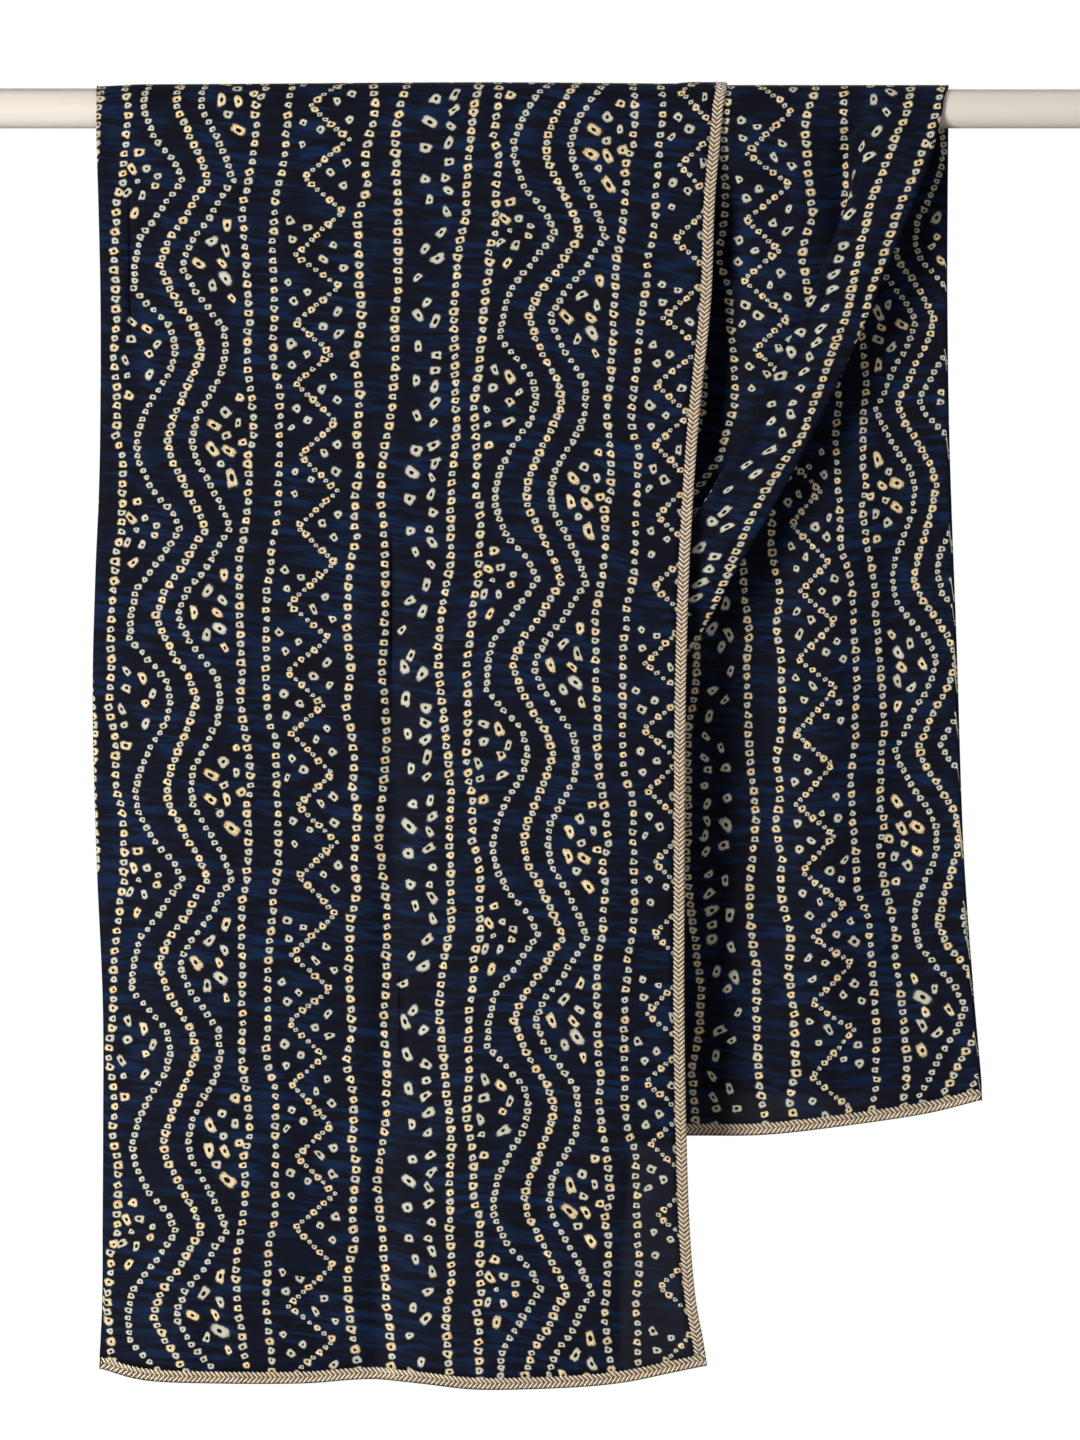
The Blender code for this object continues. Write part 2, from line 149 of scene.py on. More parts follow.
# The swag on the right, up from its bottom: x and z of its fold, turn of the section in degrees, how far
# before the rod's axis, then cloth across it: in all, in the front band, and tucked back behind that
# band; last, how far round the tuck turns, in degrees.
SIDE_SWAG = (
    (0.0378, -0.4005, 78, 0.0040, 0.140, 0.041, 0.0325, 176),
    (0.0656, -0.3736, 54, 0.0070, 0.151, 0.041, 0.0338, 176),
    (0.0938, -0.3398, 30, 0.0110, 0.164, 0.041, 0.0350, 176),
    (0.1238, -0.2879, 12, 0.0130, 0.181, 0.041, 0.0350, 176),
    (0.1538, -0.2361, 3, 0.0150, 0.188, 0.041, 0.0350, 176),
    (0.1794, -0.1867, 0, 0.0175, 0.181, 0.041, 0.0312, 174),
    (0.2038, -0.1329, 0, 0.0195, 0.172, 0.039, 0.0200, 168),
    (0.2200, -0.0929, 0, 0.0200, 0.164, 0.038, 0.0110, 150),
    (0.2344, -0.0579, 0, 0.0190, 0.160, 0.038, 0.0080, 100),
    (0.2440, -0.0329, 0, 0.0165, 0.156, 0.038, 0.0060, 45),
    (0.2492, -0.0129, 0, 0.0147, 0.153, 0.038, 0.0050, 12),
    (0.2521, 0.0000, 0, FOLDED_RADIUS, 0.152, 0.038, 0.0050, 0),
)
# Cloth in each of the tuck's two bends.
TUCK_BEND = 0.0060
# The swag's fold slants over the top of the rod: how much wider the cloth lies behind, and by which way.
SWAG_WIDENS = 0.0038
SWAG_WIDENED_BY = 0.5

# The back panel: z, x of its fold, x of its near and far layers' bound edges, y of its middle.
BACK_SIDES = (
    (-0.660, 0.2785, -0.0610, -0.0880, 0.0180),
    (-0.615, 0.2771, -0.0610, -0.0880, 0.0180),
    (-0.558, 0.2722, -0.0440, -0.0700, 0.0185),
    (-0.464, 0.2656, -0.0120, -0.0370, 0.0195),
    (-0.339, 0.2614, 0.0250, 0.0020, 0.0205),
    (-0.214, 0.2569, 0.0600, 0.0400, 0.0200),
    (-0.120, 0.2554, 0.0860, 0.0760, 0.0180),
    (-0.058, 0.2555, 0.0985, 0.0960, 0.0155),
    (0.000, 0.2560, 0.1000, 0.1000, FOLDED_RADIUS),
)
# Its layers' hems, in the same way as the front ones.
BACK_NEAR_HEM = (
    (0.00, -0.6212),
    (0.10, -0.6295),
    (0.25, -0.6370),
    (0.40, -0.6427),
    (0.52, -0.6433),
    (0.80, -0.6430),
    (1.00, -0.6390),
)
BACK_FAR_HEM = ((0.00, -0.6212), (0.30, -0.6170), (1.00, -0.6140))
# Its soft waves: how many across it, how deep, and over which heights they grow.
BACK_WAVES = 2.5
BACK_WAVE_DEPTH = 0.0025
BACK_WAVES_GROW = (-0.050, -0.400)

# How finely each sheet is cut.
ARC_STEPS = 24
FRONT_OUTER_STEPS, FRONT_UNDER_STEPS, FRONT_ROWS = 88, 40, 190
CREASE_STEP, CREASE_REACH = 0.0006, 0.0066
BACK_NEAR_STEPS, BACK_FAR_STEPS, BACK_ROWS = 84, 60, 150
BACK_FALL_STEPS, BACK_FALL_ROWS = 80, 90
TUCK_STEPS, SIDE_SWAG_ROWS = (16, 8, 10, 8, 26), 110
NOSE_STEPS = 6
ROWS_CLOSER_TO_ROD = 1.1
WALK_STEPS = 3

# Where the print lies on the swag's cloth: across it from the bound edge of the front half, and along it.
FOLD_PLACE_ON_ROD = 0.3631
SWAG_PLACE_ALONG = -0.0303


def lerp(start, end, share):
    return start + (end - start) * share


def smooth(start, end, value):
    """0 before start, 1 after end, and an S-shaped rise between them."""
    share = min(max((value - start) / (end - start), 0.0), 1.0)
    return share * share * (3 - 2 * share)


def bell(centre, half_width, value):
    return math.exp(-(((value - centre) / half_width) ** 2))


def read_rows(rows, key):
    """The columns of a table after its first, at `key`, on a smooth curve through its rows."""
    last = len(rows) - 2
    index = max(i for i in range(last + 1) if i == 0 or rows[i][0] <= key)
    before, low, high, after = (rows[min(max(index + step, 0), last + 1)] for step in (-1, 0, 1, 2))
    span = high[0] - low[0]
    share = min(max((key - low[0]) / span, 0.0), 1.0)
    values = []
    for column in range(1, len(low)):
        rise_in = span * (high[column] - before[column]) / (high[0] - before[0])
        rise_out = span * (after[column] - low[column]) / (after[0] - low[0])
        curve = (
            (2 * share**3 - 3 * share**2 + 1) * low[column]
            + (share**3 - 2 * share**2 + share) * rise_in
            + (3 * share**2 - 2 * share**3) * high[column]
            + (share**3 - share**2) * rise_out
        )
        values.append(curve)
    return values


def numbered(rows):
    """A table's rows with their own number, from 0 to 1, as a first column."""
    return [(number / (len(rows) - 1), *row) for number, row in enumerate(rows)]


def even_steps(start, end, count):
    return [lerp(start, end, step / count) for step in range(count + 1)]


def over_rod(x, way, radius):
    """A point on the way over the rod: way is z in front (below 0), then 0 to 1 half round the rod."""
    if way < 0:
        return Vector((x, -radius, way))
    angle = math.pi * way
    return Vector((x, -radius * math.cos(angle), radius * math.sin(angle)))


def fold_stations(outer_steps, under_steps, fine=()):
    """(layer, share) round a lengthwise fold: shares of the width from the fold, or angles on its nose."""
    shares = sorted({*even_steps(1.0, 0.0, outer_steps), *fine}, reverse=True)
    outer = [("outer", share) for share in shares]
    nose = [("nose", angle) for angle in even_steps(math.pi / 2, -math.pi / 2, NOSE_STEPS)[1:-1]]
    under = [("under", share) for share in even_steps(0.0, 1.0, under_steps)]
    return outer + nose + under


def layer_pitch(z):
    """How far apart the middles of two layers lie at height z."""
    return lerp(LAYER_PITCH_ON_ROD, LAYER_PITCH_HANGING, smooth(*LAYERS_LOOSE, z))


def inside_binding(station, fold_x, outer_x, under_x):
    """The station on cloth that stops short of the bound edges, as a station on the whole width."""
    layer, share = station
    if layer == "nose":
        return station
    width = abs((outer_x if layer == "outer" else under_x) - fold_x)
    return layer, share * (1 - BINDING_SHOWS / width)


def fold_offset(station, fold_x, outer_x, under_x, pitch):
    """x, and the offset outwards from the middle of the two layers, of a station across the fold."""
    layer, share = station
    radius = pitch / 2
    side = 1 if outer_x > fold_x else -1
    if layer == "nose":
        return fold_x + side * radius * (1 - math.cos(share)), radius * math.sin(share)
    if layer == "outer":
        return lerp(fold_x + side * radius, outer_x, share), radius
    return lerp(fold_x + side * radius, under_x, share), -radius


# Pressed creases of the front panel: x at its top, z of its top and foot, drift of x towards its foot,
# half width, and depth, which is below 0 for a ridge.
FRONT_CREASES = (
    (-0.2563, -0.046, -0.150, 0.0004, 0.0011, 0.0016),
    (-0.2520, -0.085, -0.300, 0.0010, 0.0060, 0.0006),
    (-0.0922, -0.262, -0.360, -0.0004, 0.0013, 0.0020),
    (-0.0920, -0.262, -0.430, -0.0014, 0.0036, 0.0010),
    (-0.0872, -0.530, -0.604, 0.0008, 0.0012, 0.0016),
    (-0.0870, -0.270, -0.800, -0.0150, 0.0095, 0.0042),
    (-0.1560, -0.420, -0.800, -0.0060, 0.0220, -0.0014),
    (0.0350, -0.380, -0.800, 0.0080, 0.0180, -0.0016),
    (0.0620, -0.640, -0.790, -0.0160, 0.0070, 0.0012),
    (0.0020, -0.560, -0.800, -0.0050, 0.0120, 0.0010),
    (-0.2080, -0.600, -0.800, 0.0040, 0.0110, 0.0012),
)
# Where the sheet is cut more finely, for the narrow ones: x, at this z.
FINE_CREASES, FINE_CREASES_Z = (-0.2563, -0.1020, -0.0885), -0.300
# Shares of a crease over which it sets in and dies away, unless it runs on below this z, into the hem.
CREASE_SETS_IN, CREASE_DIES_AWAY, CREASE_RUNS_ON = (0.0, 0.22), (0.80, 1.0), -0.79


def crease_shares():
    """Shares of the front panel's width close together about its narrow creases."""
    fold_x, edge_x = read_rows(FRONT_SIDES, FINE_CREASES_Z)
    count = round(2 * CREASE_REACH / CREASE_STEP)
    shares = []
    for crease_x in FINE_CREASES:
        for x in even_steps(crease_x - CREASE_REACH, crease_x + CREASE_REACH, count):
            shares.append((x - fold_x) / (edge_x - fold_x))
    return shares


def crease_depth(creases, x, z):
    """How far the creases of a table set the cloth back at a place."""
    depth = 0.0
    for top_x, top, foot, drift, half_width, deep in creases:
        down = (z - top) / (foot - top)
        ends = smooth(*CREASE_SETS_IN, down)
        ends *= 1 - smooth(*CREASE_DIES_AWAY, down) * (foot > CREASE_RUNS_ON)
        depth += deep * ends * bell(top_x + drift * down, half_width, x)
    return depth


def front_point(station, way, cloth=True):
    """A point of the front panel. With cloth False the bound edges count as part of the width."""
    fold_x, edge_x = read_rows(FRONT_SIDES, way)
    if cloth:
        station = inside_binding(station, fold_x, edge_x, UNDER_FLAP_EDGE)
    z = min(way, 0.0)
    pitch = layer_pitch(z)
    x, offset = fold_offset(station, fold_x, edge_x, UNDER_FLAP_EDGE, pitch)
    lift = OVERLAP_RISE * smooth(*OVERLAP_GROWS, x) + FRONT_LEAN * smooth(*LEAN_GROWS, z)
    for crest, half_width, depth in FRONT_FOLDS:
        lift += depth * smooth(*FRONT_FOLDS_GROW, z) * bell(crest, half_width, x)
    pressed, creased = (1.0, 1.0) if station[0] == "outer" else (UNDER_PRESSED, UNDER_CREASED)
    on_rod = smooth(*PRESSED_FROM, z)
    lift -= pressed * on_rod * FOLD_PRESSED * (1 - smooth(0.0, PRESSED_WIDTH, x - fold_x))
    if station[0] == "outer":
        lift += on_rod * TOP_BILLOW * bell(*BILLOW_PLACE, x)
    if way < 0:
        lift -= creased * crease_depth(FRONT_CREASES, x, z)
    return over_rod(x, way, UNDER_RADIUS + pitch / 2 + offset + lift)


# The print runs a little wider than the panel looks, and has slipped: z, how much wider, how far.
FRONT_EASE = (
    (-0.800, 0.998, 0.0000),
    (-0.740, 1.004, 0.0030),
    (-0.680, 1.012, 0.0050),
    (-0.520, 1.031, 0.0050),
    (-0.430, 1.028, 0.0042),
    (-0.300, 1.0255, 0.0022),
    (-0.150, 1.010, 0.0008),
    (-0.058, 0.996, 0.0004),
    (0.000, 0.995, 0.0000),
)
# Near the top of its fold the print has slipped towards it by this much, which grows over these x and z.
TOP_CORNER_SLIP = 0.0046
TOP_CORNER_ACROSS = (-0.050, -0.170)
TOP_CORNER_DOWN = (-0.260, -0.010)
# The weft sags: z, then how much lower the print hangs at each x of SKEW_PLACES.
SKEW_PLACES = (-0.160, -0.1125, -0.066, -0.019, 0.028, 0.070)
FRONT_SKEWS = (
    (-0.800, 0.0027, 0.0043, 0.0079, 0.0051, 0.0086, 0.0066),
    (-0.600, 0.0010, 0.0040, 0.0075, 0.0031, 0.0051, 0.0051),
    (-0.450, 0.0001, 0.0025, 0.0040, 0.0000, 0.0032, 0.0032),
    (-0.300, -0.0001, 0.0017, 0.0020, -0.0021, 0.0003, 0.0043),
    (-0.200, -0.0003, 0.0000, 0.0003, -0.0033, 0.0007, 0.0050),
    (-0.100, -0.0005, -0.0004, 0.0001, -0.0023, 0.0006, 0.0061),
    (0.000, -0.0006, -0.0016, -0.0010, -0.0027, -0.0004, 0.0023),
)


def front_skew(x, z):
    """How much lower the front panel's print hangs at a place."""
    skews = read_rows(FRONT_SKEWS, z)
    for near, far, low, high in zip(SKEW_PLACES, SKEW_PLACES[1:], skews, skews[1:]):
        if x < far:
            return lerp(low, high, smooth(near, far, x))
    return skews[-1]


def front_place(station, way):
    """Where a point of the front panel lies on the cloth: across it and along it."""
    fold_x, edge_x = read_rows(FRONT_SIDES, way)
    station = inside_binding(station, fold_x, edge_x, UNDER_FLAP_EDGE)
    z = min(way, 0.0)
    radius = layer_pitch(z) / 2
    x, _ = fold_offset(station, fold_x, edge_x, UNDER_FLAP_EDGE, 2 * radius)
    ease, slip = read_rows(FRONT_EASE, z)
    layer, share = station
    to_nose = ease * (edge_x - fold_x - radius)
    if layer == "outer":
        across = ease * (edge_x - x)
    elif layer == "nose":
        across = to_nose + radius * (math.pi / 2 - share)
    else:
        across = to_nose + math.pi * radius + x - fold_x - radius
    across += slip - TOP_CORNER_SLIP * smooth(*TOP_CORNER_ACROSS, x) * smooth(*TOP_CORNER_DOWN, z)
    along = z if way < 0 else way * math.pi * OUTER_RADIUS
    if layer == "outer":
        along += front_skew(x, z)
    return across, along


def hem_height(outer_rows, under_rows, station):
    """z of a hem at a station round the fold, from the tables of its two layers."""
    layer, share = station
    if layer == "nose":
        return outer_rows[0][1]
    return read_rows(outer_rows if layer == "outer" else under_rows, share)[0]


def front_hem(station):
    return hem_height(FRONT_HEM, UNDER_FLAP_HEM, station)


def front_ways(first):
    """The way up a front panel's column from z `first`, closer together near the rod."""
    hanging = [first * (1 - row / FRONT_ROWS) ** ROWS_CLOSER_TO_ROD for row in range(FRONT_ROWS)]
    return hanging + even_steps(0.0, 1.0, ARC_STEPS)


def back_fall_point(share, height, cloth=True):
    """share runs from the fold to the bound edge, height from the rod (0) to the swag's bottom (1)."""
    fold_x, fold_z, edge_x, edge_z, y, fold_depth = read_rows(numbered(BACK_FALL), height)
    fold, edge = Vector((fold_x, 0, fold_z)), Vector((edge_x, 0, edge_z))
    if cloth:
        share *= 1 - BINDING_SHOWS / (edge - fold).length
    point = fold.lerp(edge, share)
    held = math.sin(math.pi * share)
    wave = math.sin(2 * math.pi * BACK_FALL_FOLDS * share) * held
    swing = BOTTOM_SWING * smooth(BOTTOM_SWING_STARTS, 1.0, height) * (2 * share - 1)
    ripple = RIPPLE_DEPTH * smooth(*RIPPLE_GROWS, height)
    ripple *= math.sin(RIPPLES_ACROSS * share + RIPPLES_DOWN * height) * held
    point.y = y + fold_depth * wave + swing + ripple
    return point


def side_swag_section(row, distances):
    """The swag's section as (across, behind) of its fold, at each distance of cloth from that fold."""
    _, _, _, _, total, band, tuck, turn = row
    first, second = band, band + TUCK_BEND + tuck
    points, across, behind, walked = [], 0.0, 0.0, 0.0
    for distance in distances:
        step = (distance * total - walked) / WALK_STEPS
        for _ in range(WALK_STEPS):
            middle = walked + step / 2
            into = min(max((middle - first) / TUCK_BEND, 0.0), 1.0)
            out_of = min(max((middle - second) / TUCK_BEND, 0.0), 1.0)
            heading = math.radians(turn) * (into - out_of)
            across += step * math.cos(heading)
            behind += step * math.sin(heading)
            walked += step
        points.append((across, behind))
    return points


def side_swag_stations(row):
    """Shares of the cloth across the swag, close together in the tuck's two bends."""
    _, _, _, _, total, band, tuck, _ = row
    turns = (0.0, band, band + TUCK_BEND, band + TUCK_BEND + tuck, band + 2 * TUCK_BEND + tuck, total)
    stations = [0.0]
    for start, end, count in zip(turns, turns[1:], TUCK_STEPS):
        stations += [value / total for value in even_steps(start, end, count)[1:]]
    return stations


# Soft ridges of the swag: cloth from the fold to its line at the top and at the bottom, where down the
# swag it starts and ends as shares of its height, half width, and height, which is below 0 for a trough.
SWAG_RIDGES = (
    (0.016, 0.014, 0.10, 0.98, 0.0060, 0.0016),
    (0.030, 0.034, 0.16, 0.80, 0.0040, -0.0012),
    (0.024, 0.022, 0.45, 1.00, 0.0030, -0.0008),
    (0.050, 0.080, 0.01, 0.38, 0.0085, -0.0070),
    (0.078, 0.100, 0.02, 0.40, 0.0070, 0.0020),
    (0.112, 0.135, 0.02, 0.55, 0.0100, 0.0009),
    (0.158, 0.170, 0.20, 0.80, 0.0320, -0.0210),
)
# Shares of a ridge over which it rises and dies away.
RIDGE_RISES, RIDGE_DIES_AWAY = (0.0, 0.3), (0.75, 1.0)
# How far the print lies from its place on the rod: z, in the swag's band and left of its tuck.
SWAG_SLIDES = (
    (-0.400, 0.0220, -0.0070),
    (-0.300, 0.0200, -0.0070),
    (-0.230, 0.0160, 0.0060),
    (-0.183, 0.0120, 0.0000),
    (-0.117, 0.0055, -0.0024),
    (-0.058, 0.0008, 0.0058),
    (-0.030, -0.0008, 0.0066),
    (-0.013, -0.0020, 0.0026),
    (0.000, -0.0010, 0.0005),
)


def swag_ridge(distance, down):
    """How far the swag's ridges stand out at a distance from its fold and a share of the way down."""
    rise = 0.0
    for top, bottom, start, end, half_width, height in SWAG_RIDGES:
        share = (down - start) / (end - start)
        ends = smooth(*RIDGE_RISES, share) * (1 - smooth(*RIDGE_DIES_AWAY, share) * (end < 1))
        rise += height * ends * bell(lerp(top, bottom, down), half_width, distance)
    return rise


def swag_x(front_row, point, way):
    """x, on the way over the rod, of a point of the row that lies in front of it."""
    left, right = front_row[-1].x, front_row[0].x
    return point.x + SWAG_WIDENS * smooth(0.0, SWAG_WIDENED_BY, way) * (point.x - left) / (right - left)


def side_swag_row(section, height):
    """The swag's points at a row of its table, and how much cloth lies between its fold and each."""
    x, z, slant, before, total, *_ = section
    lean = math.radians(slant)
    shares = side_swag_stations(section)
    distances = [share * total for share in shares]
    points = []
    for (across, behind), distance in zip(side_swag_section(section, shares), distances):
        y = behind - before - swag_ridge(distance, 1 - height)
        points.append(Vector((x - across * math.cos(lean), y, z + across * math.sin(lean))))
    return points, distances


def runs_from_top(rows):
    """For each point of the rows, minus the length of cloth between it and the top row, the last one."""
    runs = [[0.0] * len(rows[-1])]
    for above, below in zip(rows[:0:-1], rows[-2::-1]):
        runs.append([run - (a - b).length for run, a, b in zip(runs[-1], above, below)])
    return runs[::-1]


def side_swag_grid():
    """The swag's points and their places on the cloth, a row of each for each step up it and over the rod."""
    heights = even_steps(0.0, 1.0, SIDE_SWAG_ROWS)
    sections = [read_rows(numbered(SIDE_SWAG), height) for height in heights]
    made = [side_swag_row(section, height) for section, height in zip(sections, heights)]
    rows = [points for points, _ in made]
    places = []
    for section, (_, distances), runs in zip(sections, made, runs_from_top(rows)):
        _, z, _, _, _, band, tuck, _ = section
        band_slide, left_slide = read_rows(SWAG_SLIDES, z)
        row_places = []
        for distance, run in zip(distances, runs):
            hidden = smooth(band, band + 2 * TUCK_BEND + tuck, distance)
            across = FOLD_PLACE_ON_ROD + distance + lerp(band_slide, left_slide, hidden)
            row_places.append((across, SWAG_PLACE_ALONG + run))
        places.append(row_places)
    front_row, front_places = rows[-1], places[-1]
    for way in even_steps(0.0, 1.0, ARC_STEPS)[1:]:
        rows.append([over_rod(swag_x(front_row, point, way), way, FOLDED_RADIUS) for point in front_row])
        places.append([(across, SWAG_PLACE_ALONG + way * HALF_TURN) for across, _ in front_places])
    return list(zip(*rows)), list(zip(*places))


# Soft creases of the back panel, as in the front one's table.
BACK_CREASES = (
    (0.1450, -0.180, -0.640, 0.0060, 0.0120, 0.0014),
    (0.2200, -0.120, -0.560, 0.0050, 0.0090, 0.0012),
    (0.1850, -0.250, -0.640, -0.0090, 0.0160, -0.0014),
    (0.0900, -0.330, -0.640, -0.0220, 0.0120, 0.0012),
    (0.2400, -0.300, -0.630, 0.0080, 0.0070, -0.0009),
)


def back_point(station, z, cloth=True):
    """A point of the back panel, whose outer layer is its near one. z is as it hangs."""
    fold_x, near_x, far_x, middle = read_rows(BACK_SIDES, z)
    if cloth:
        station = inside_binding(station, fold_x, near_x, far_x)
    x, offset = fold_offset(station, fold_x, near_x, far_x, layer_pitch(z))
    wave = math.sin(2 * math.pi * BACK_WAVES * (fold_x - x) / (fold_x - far_x))
    depth = BACK_WAVE_DEPTH * smooth(*BACK_WAVES_GROW, z) * wave
    return Vector((x, middle - offset + depth + crease_depth(BACK_CREASES, x, z), z))


# The near layer's weft: share of the width from the fold, and how much higher the print lies there.
BACK_SKEWS = (
    (0.00, 0.0110),
    (0.13, 0.0065),
    (0.21, 0.0030),
    (0.34, -0.0025),
    (0.47, -0.0030),
    (0.61, -0.0050),
    (1.00, -0.0060),
)
# Over which heights the skew sets in, and, where the print hangs lower, ends above the hem.
BACK_SKEW_STARTS = (-0.040, -0.220)
BACK_SAG_ENDS = (-0.600, -0.500)


def back_skew(share, z):
    """How much higher the back panel's print lies at a place."""
    skew = read_rows(BACK_SKEWS, share)[0] * smooth(*BACK_SKEW_STARTS, z)
    return skew if skew > 0 else skew * smooth(*BACK_SAG_ENDS, z)


# Where the back panel's fold lies on the cloth: z, place across, and how much wider the print runs.
BACK_FOLD_PLACES = (
    (-0.660, 0.3365, 1.000),
    (-0.611, 0.3371, 1.000),
    (-0.558, 0.3368, 1.015),
    (-0.433, 0.3403, 1.070),
    (-0.308, 0.3460, 1.130),
    (-0.183, 0.3503, 1.160),
    (-0.064, 0.3590, 1.150),
    (0.000, 0.3603, 1.100),
)
# The back panel has slipped down behind the rod by this much. Its far layer makes up for it near the rod,
# this far from the fold and down to this z.
BACK_SLIP = 0.0318
BACK_SLIP_EASES = (0.050, -0.120)


def back_place(station, z):
    """Where a point of the back panel lies on the cloth."""
    fold_x, near_x, far_x, _ = read_rows(BACK_SIDES, z)
    station = inside_binding(station, fold_x, near_x, far_x)
    radius = layer_pitch(z) / 2
    x, _ = fold_offset(station, fold_x, near_x, far_x, 2 * radius)
    fold_place, ease = read_rows(BACK_FOLD_PLACES, z)
    layer, share = station
    around = fold_x - radius - x
    slip = BACK_SLIP
    if layer == "under":
        slip *= 1 - smooth(0.0, BACK_SLIP_EASES[0], around) * smooth(BACK_SLIP_EASES[1], 0.0, z)
    along = SWAG_PLACE_ALONG + HALF_TURN - z - slip
    if layer == "outer":
        return fold_place - ease * around - radius * math.pi / 2, along + back_skew(share, z)
    if layer == "nose":
        return fold_place - radius * share, along
    return fold_place + around + radius * math.pi / 2, along


def back_hem(station):
    return hem_height(BACK_NEAR_HEM, BACK_FAR_HEM, station)


def math_node(operation, swapped=False):
    """A method of Wire that adds a Math node, with its own value last where they are swapped."""

    def method(self, *others):
        values = (*others, self) if swapped else (self, *others)
        return self.finish.node("ShaderNodeMath", {"operation": operation}, *values)

    return method


class Wire:
    """A value in a material. Arithmetic on it adds the Math nodes."""

    def __init__(self, finish, socket):
        self.finish, self.socket = finish, socket

    __add__ = __radd__ = math_node("ADD")
    __sub__ = math_node("SUBTRACT")
    __rsub__ = math_node("SUBTRACT", swapped=True)
    __mul__ = __rmul__ = math_node("MULTIPLY")
    __truediv__ = math_node("DIVIDE")
    __rtruediv__ = math_node("DIVIDE", swapped=True)
    __lt__ = math_node("LESS_THAN")
    __gt__ = math_node("GREATER_THAN")
    floor = math_node("FLOOR")
    wrap = math_node("FLOORED_MODULO")
    least = math_node("MINIMUM")
    most = math_node("MAXIMUM")
    root = math_node("SQRT")
    sine = math_node("SINE")
    cosine = math_node("COSINE")
    heading = math_node("ARCTAN2")

    def between(self, low, high):
        """0 at low, 1 at high, with an S-shaped rise."""
        settings = {"interpolation_type": "SMOOTHSTEP"}
        return self.finish.node("ShaderNodeMapRange", settings, self, low, high, 0.0, 1.0)

    def parts(self):
        """Its three parts, as a vector or colour."""
        first = self.finish.node("ShaderNodeSeparateXYZ", {}, self)
        return [Wire(self.finish, outlet) for outlet in first.socket.node.outputs]


# How much finer each step of a noise's detail is than the one before.
LACUNARITY = 2.0


class Finish:
    """A material under construction."""

    def __init__(self, name, colour, roughness, metallic=0.0):
        self.material = bpy.data.materials.new(name)
        self.material.use_nodes = True
        self.tree = self.material.node_tree
        self.shader = self.tree.nodes["Principled BSDF"]
        self.shader.inputs["Base Color"].default_value = (*colour, 1.0)
        self.shader.inputs["Roughness"].default_value = roughness
        self.shader.inputs["Metallic"].default_value = metallic

    def node(self, kind, settings, *values, out=0):
        """A node of that kind: its settings first, then a value or a link for each socket that is on."""
        made = self.tree.nodes.new(kind)
        for name, setting in settings.items():
            if name == "stops":
                self.set_stops(made.color_ramp, setting)
            elif name == "interpolation":
                made.color_ramp.interpolation = setting
            else:
                setattr(made, name, setting)
        sockets = [socket for socket in made.inputs if socket.enabled]
        for socket, value in zip(sockets, values):
            self.feed(socket, value)
        outlets = [socket for socket in made.outputs if socket.enabled]
        return Wire(self, outlets[out])

    def feed(self, socket, value):
        if isinstance(value, Wire):
            self.tree.links.new(value.socket, socket)
        elif value is not None:
            socket.default_value = value

    @staticmethod
    def set_stops(ramp, stops):
        for _ in range(len(stops) - 2):
            ramp.elements.new(0.5)
        for element, (position, colour) in zip(list(ramp.elements), stops):
            element.position = position
            element.color = colour

    def ramp(self, value, stops, interpolation):
        return self.node("ShaderNodeValToRGB", {"stops": stops, "interpolation": interpolation}, value)

    def vector(self, x, y, z=0.0):
        return self.node("ShaderNodeCombineXYZ", {}, x, y, z)

    def scaled(self, x, y, scales):
        return self.vector(x * scales[0], y * scales[1])

    def length(self, x, y):
        return self.node("ShaderNodeVectorMath", {"operation": "LENGTH"}, self.vector(x, y))

    def pick(self, share, first, second):
        """first where share is 0, second where it is 1, for vectors."""
        return self.node("ShaderNodeMix", {"data_type": "VECTOR"}, share, first, second)

    def blend(self, share, first, second):
        """first where share is 0, second where it is 1, for colours."""
        return self.node("ShaderNodeMix", {"data_type": "RGBA"}, share, first, second)

    def noise(self, place, scale=1.0, detail=2.0, roughness=0.5, distortion=0.0, out=0):
        values = (place, scale, detail, roughness, LACUNARITY, distortion)
        return self.node("ShaderNodeTexNoise", {}, *values, out=out)

    def surface(self, name, value):
        self.feed(self.shader.inputs[name], value)

    def relief(self, height, strength, distance):
        bump = self.node("ShaderNodeBump", {}, strength, distance)
        self.feed(bump.socket.node.inputs["Height"], height)
        self.surface("Normal", bump)


# The print's repeat, in millimetres: across, along, and how far each repeat across hangs lower. Then where
# the first one starts on the cloth.
REPEAT_ACROSS, REPEAT_ALONG, REPEAT_DROP = 228.75, 218.1, 32.8
PRINT_STARTS_ACROSS, PRINT_STARTS_DOWN = 377.3, -2.3
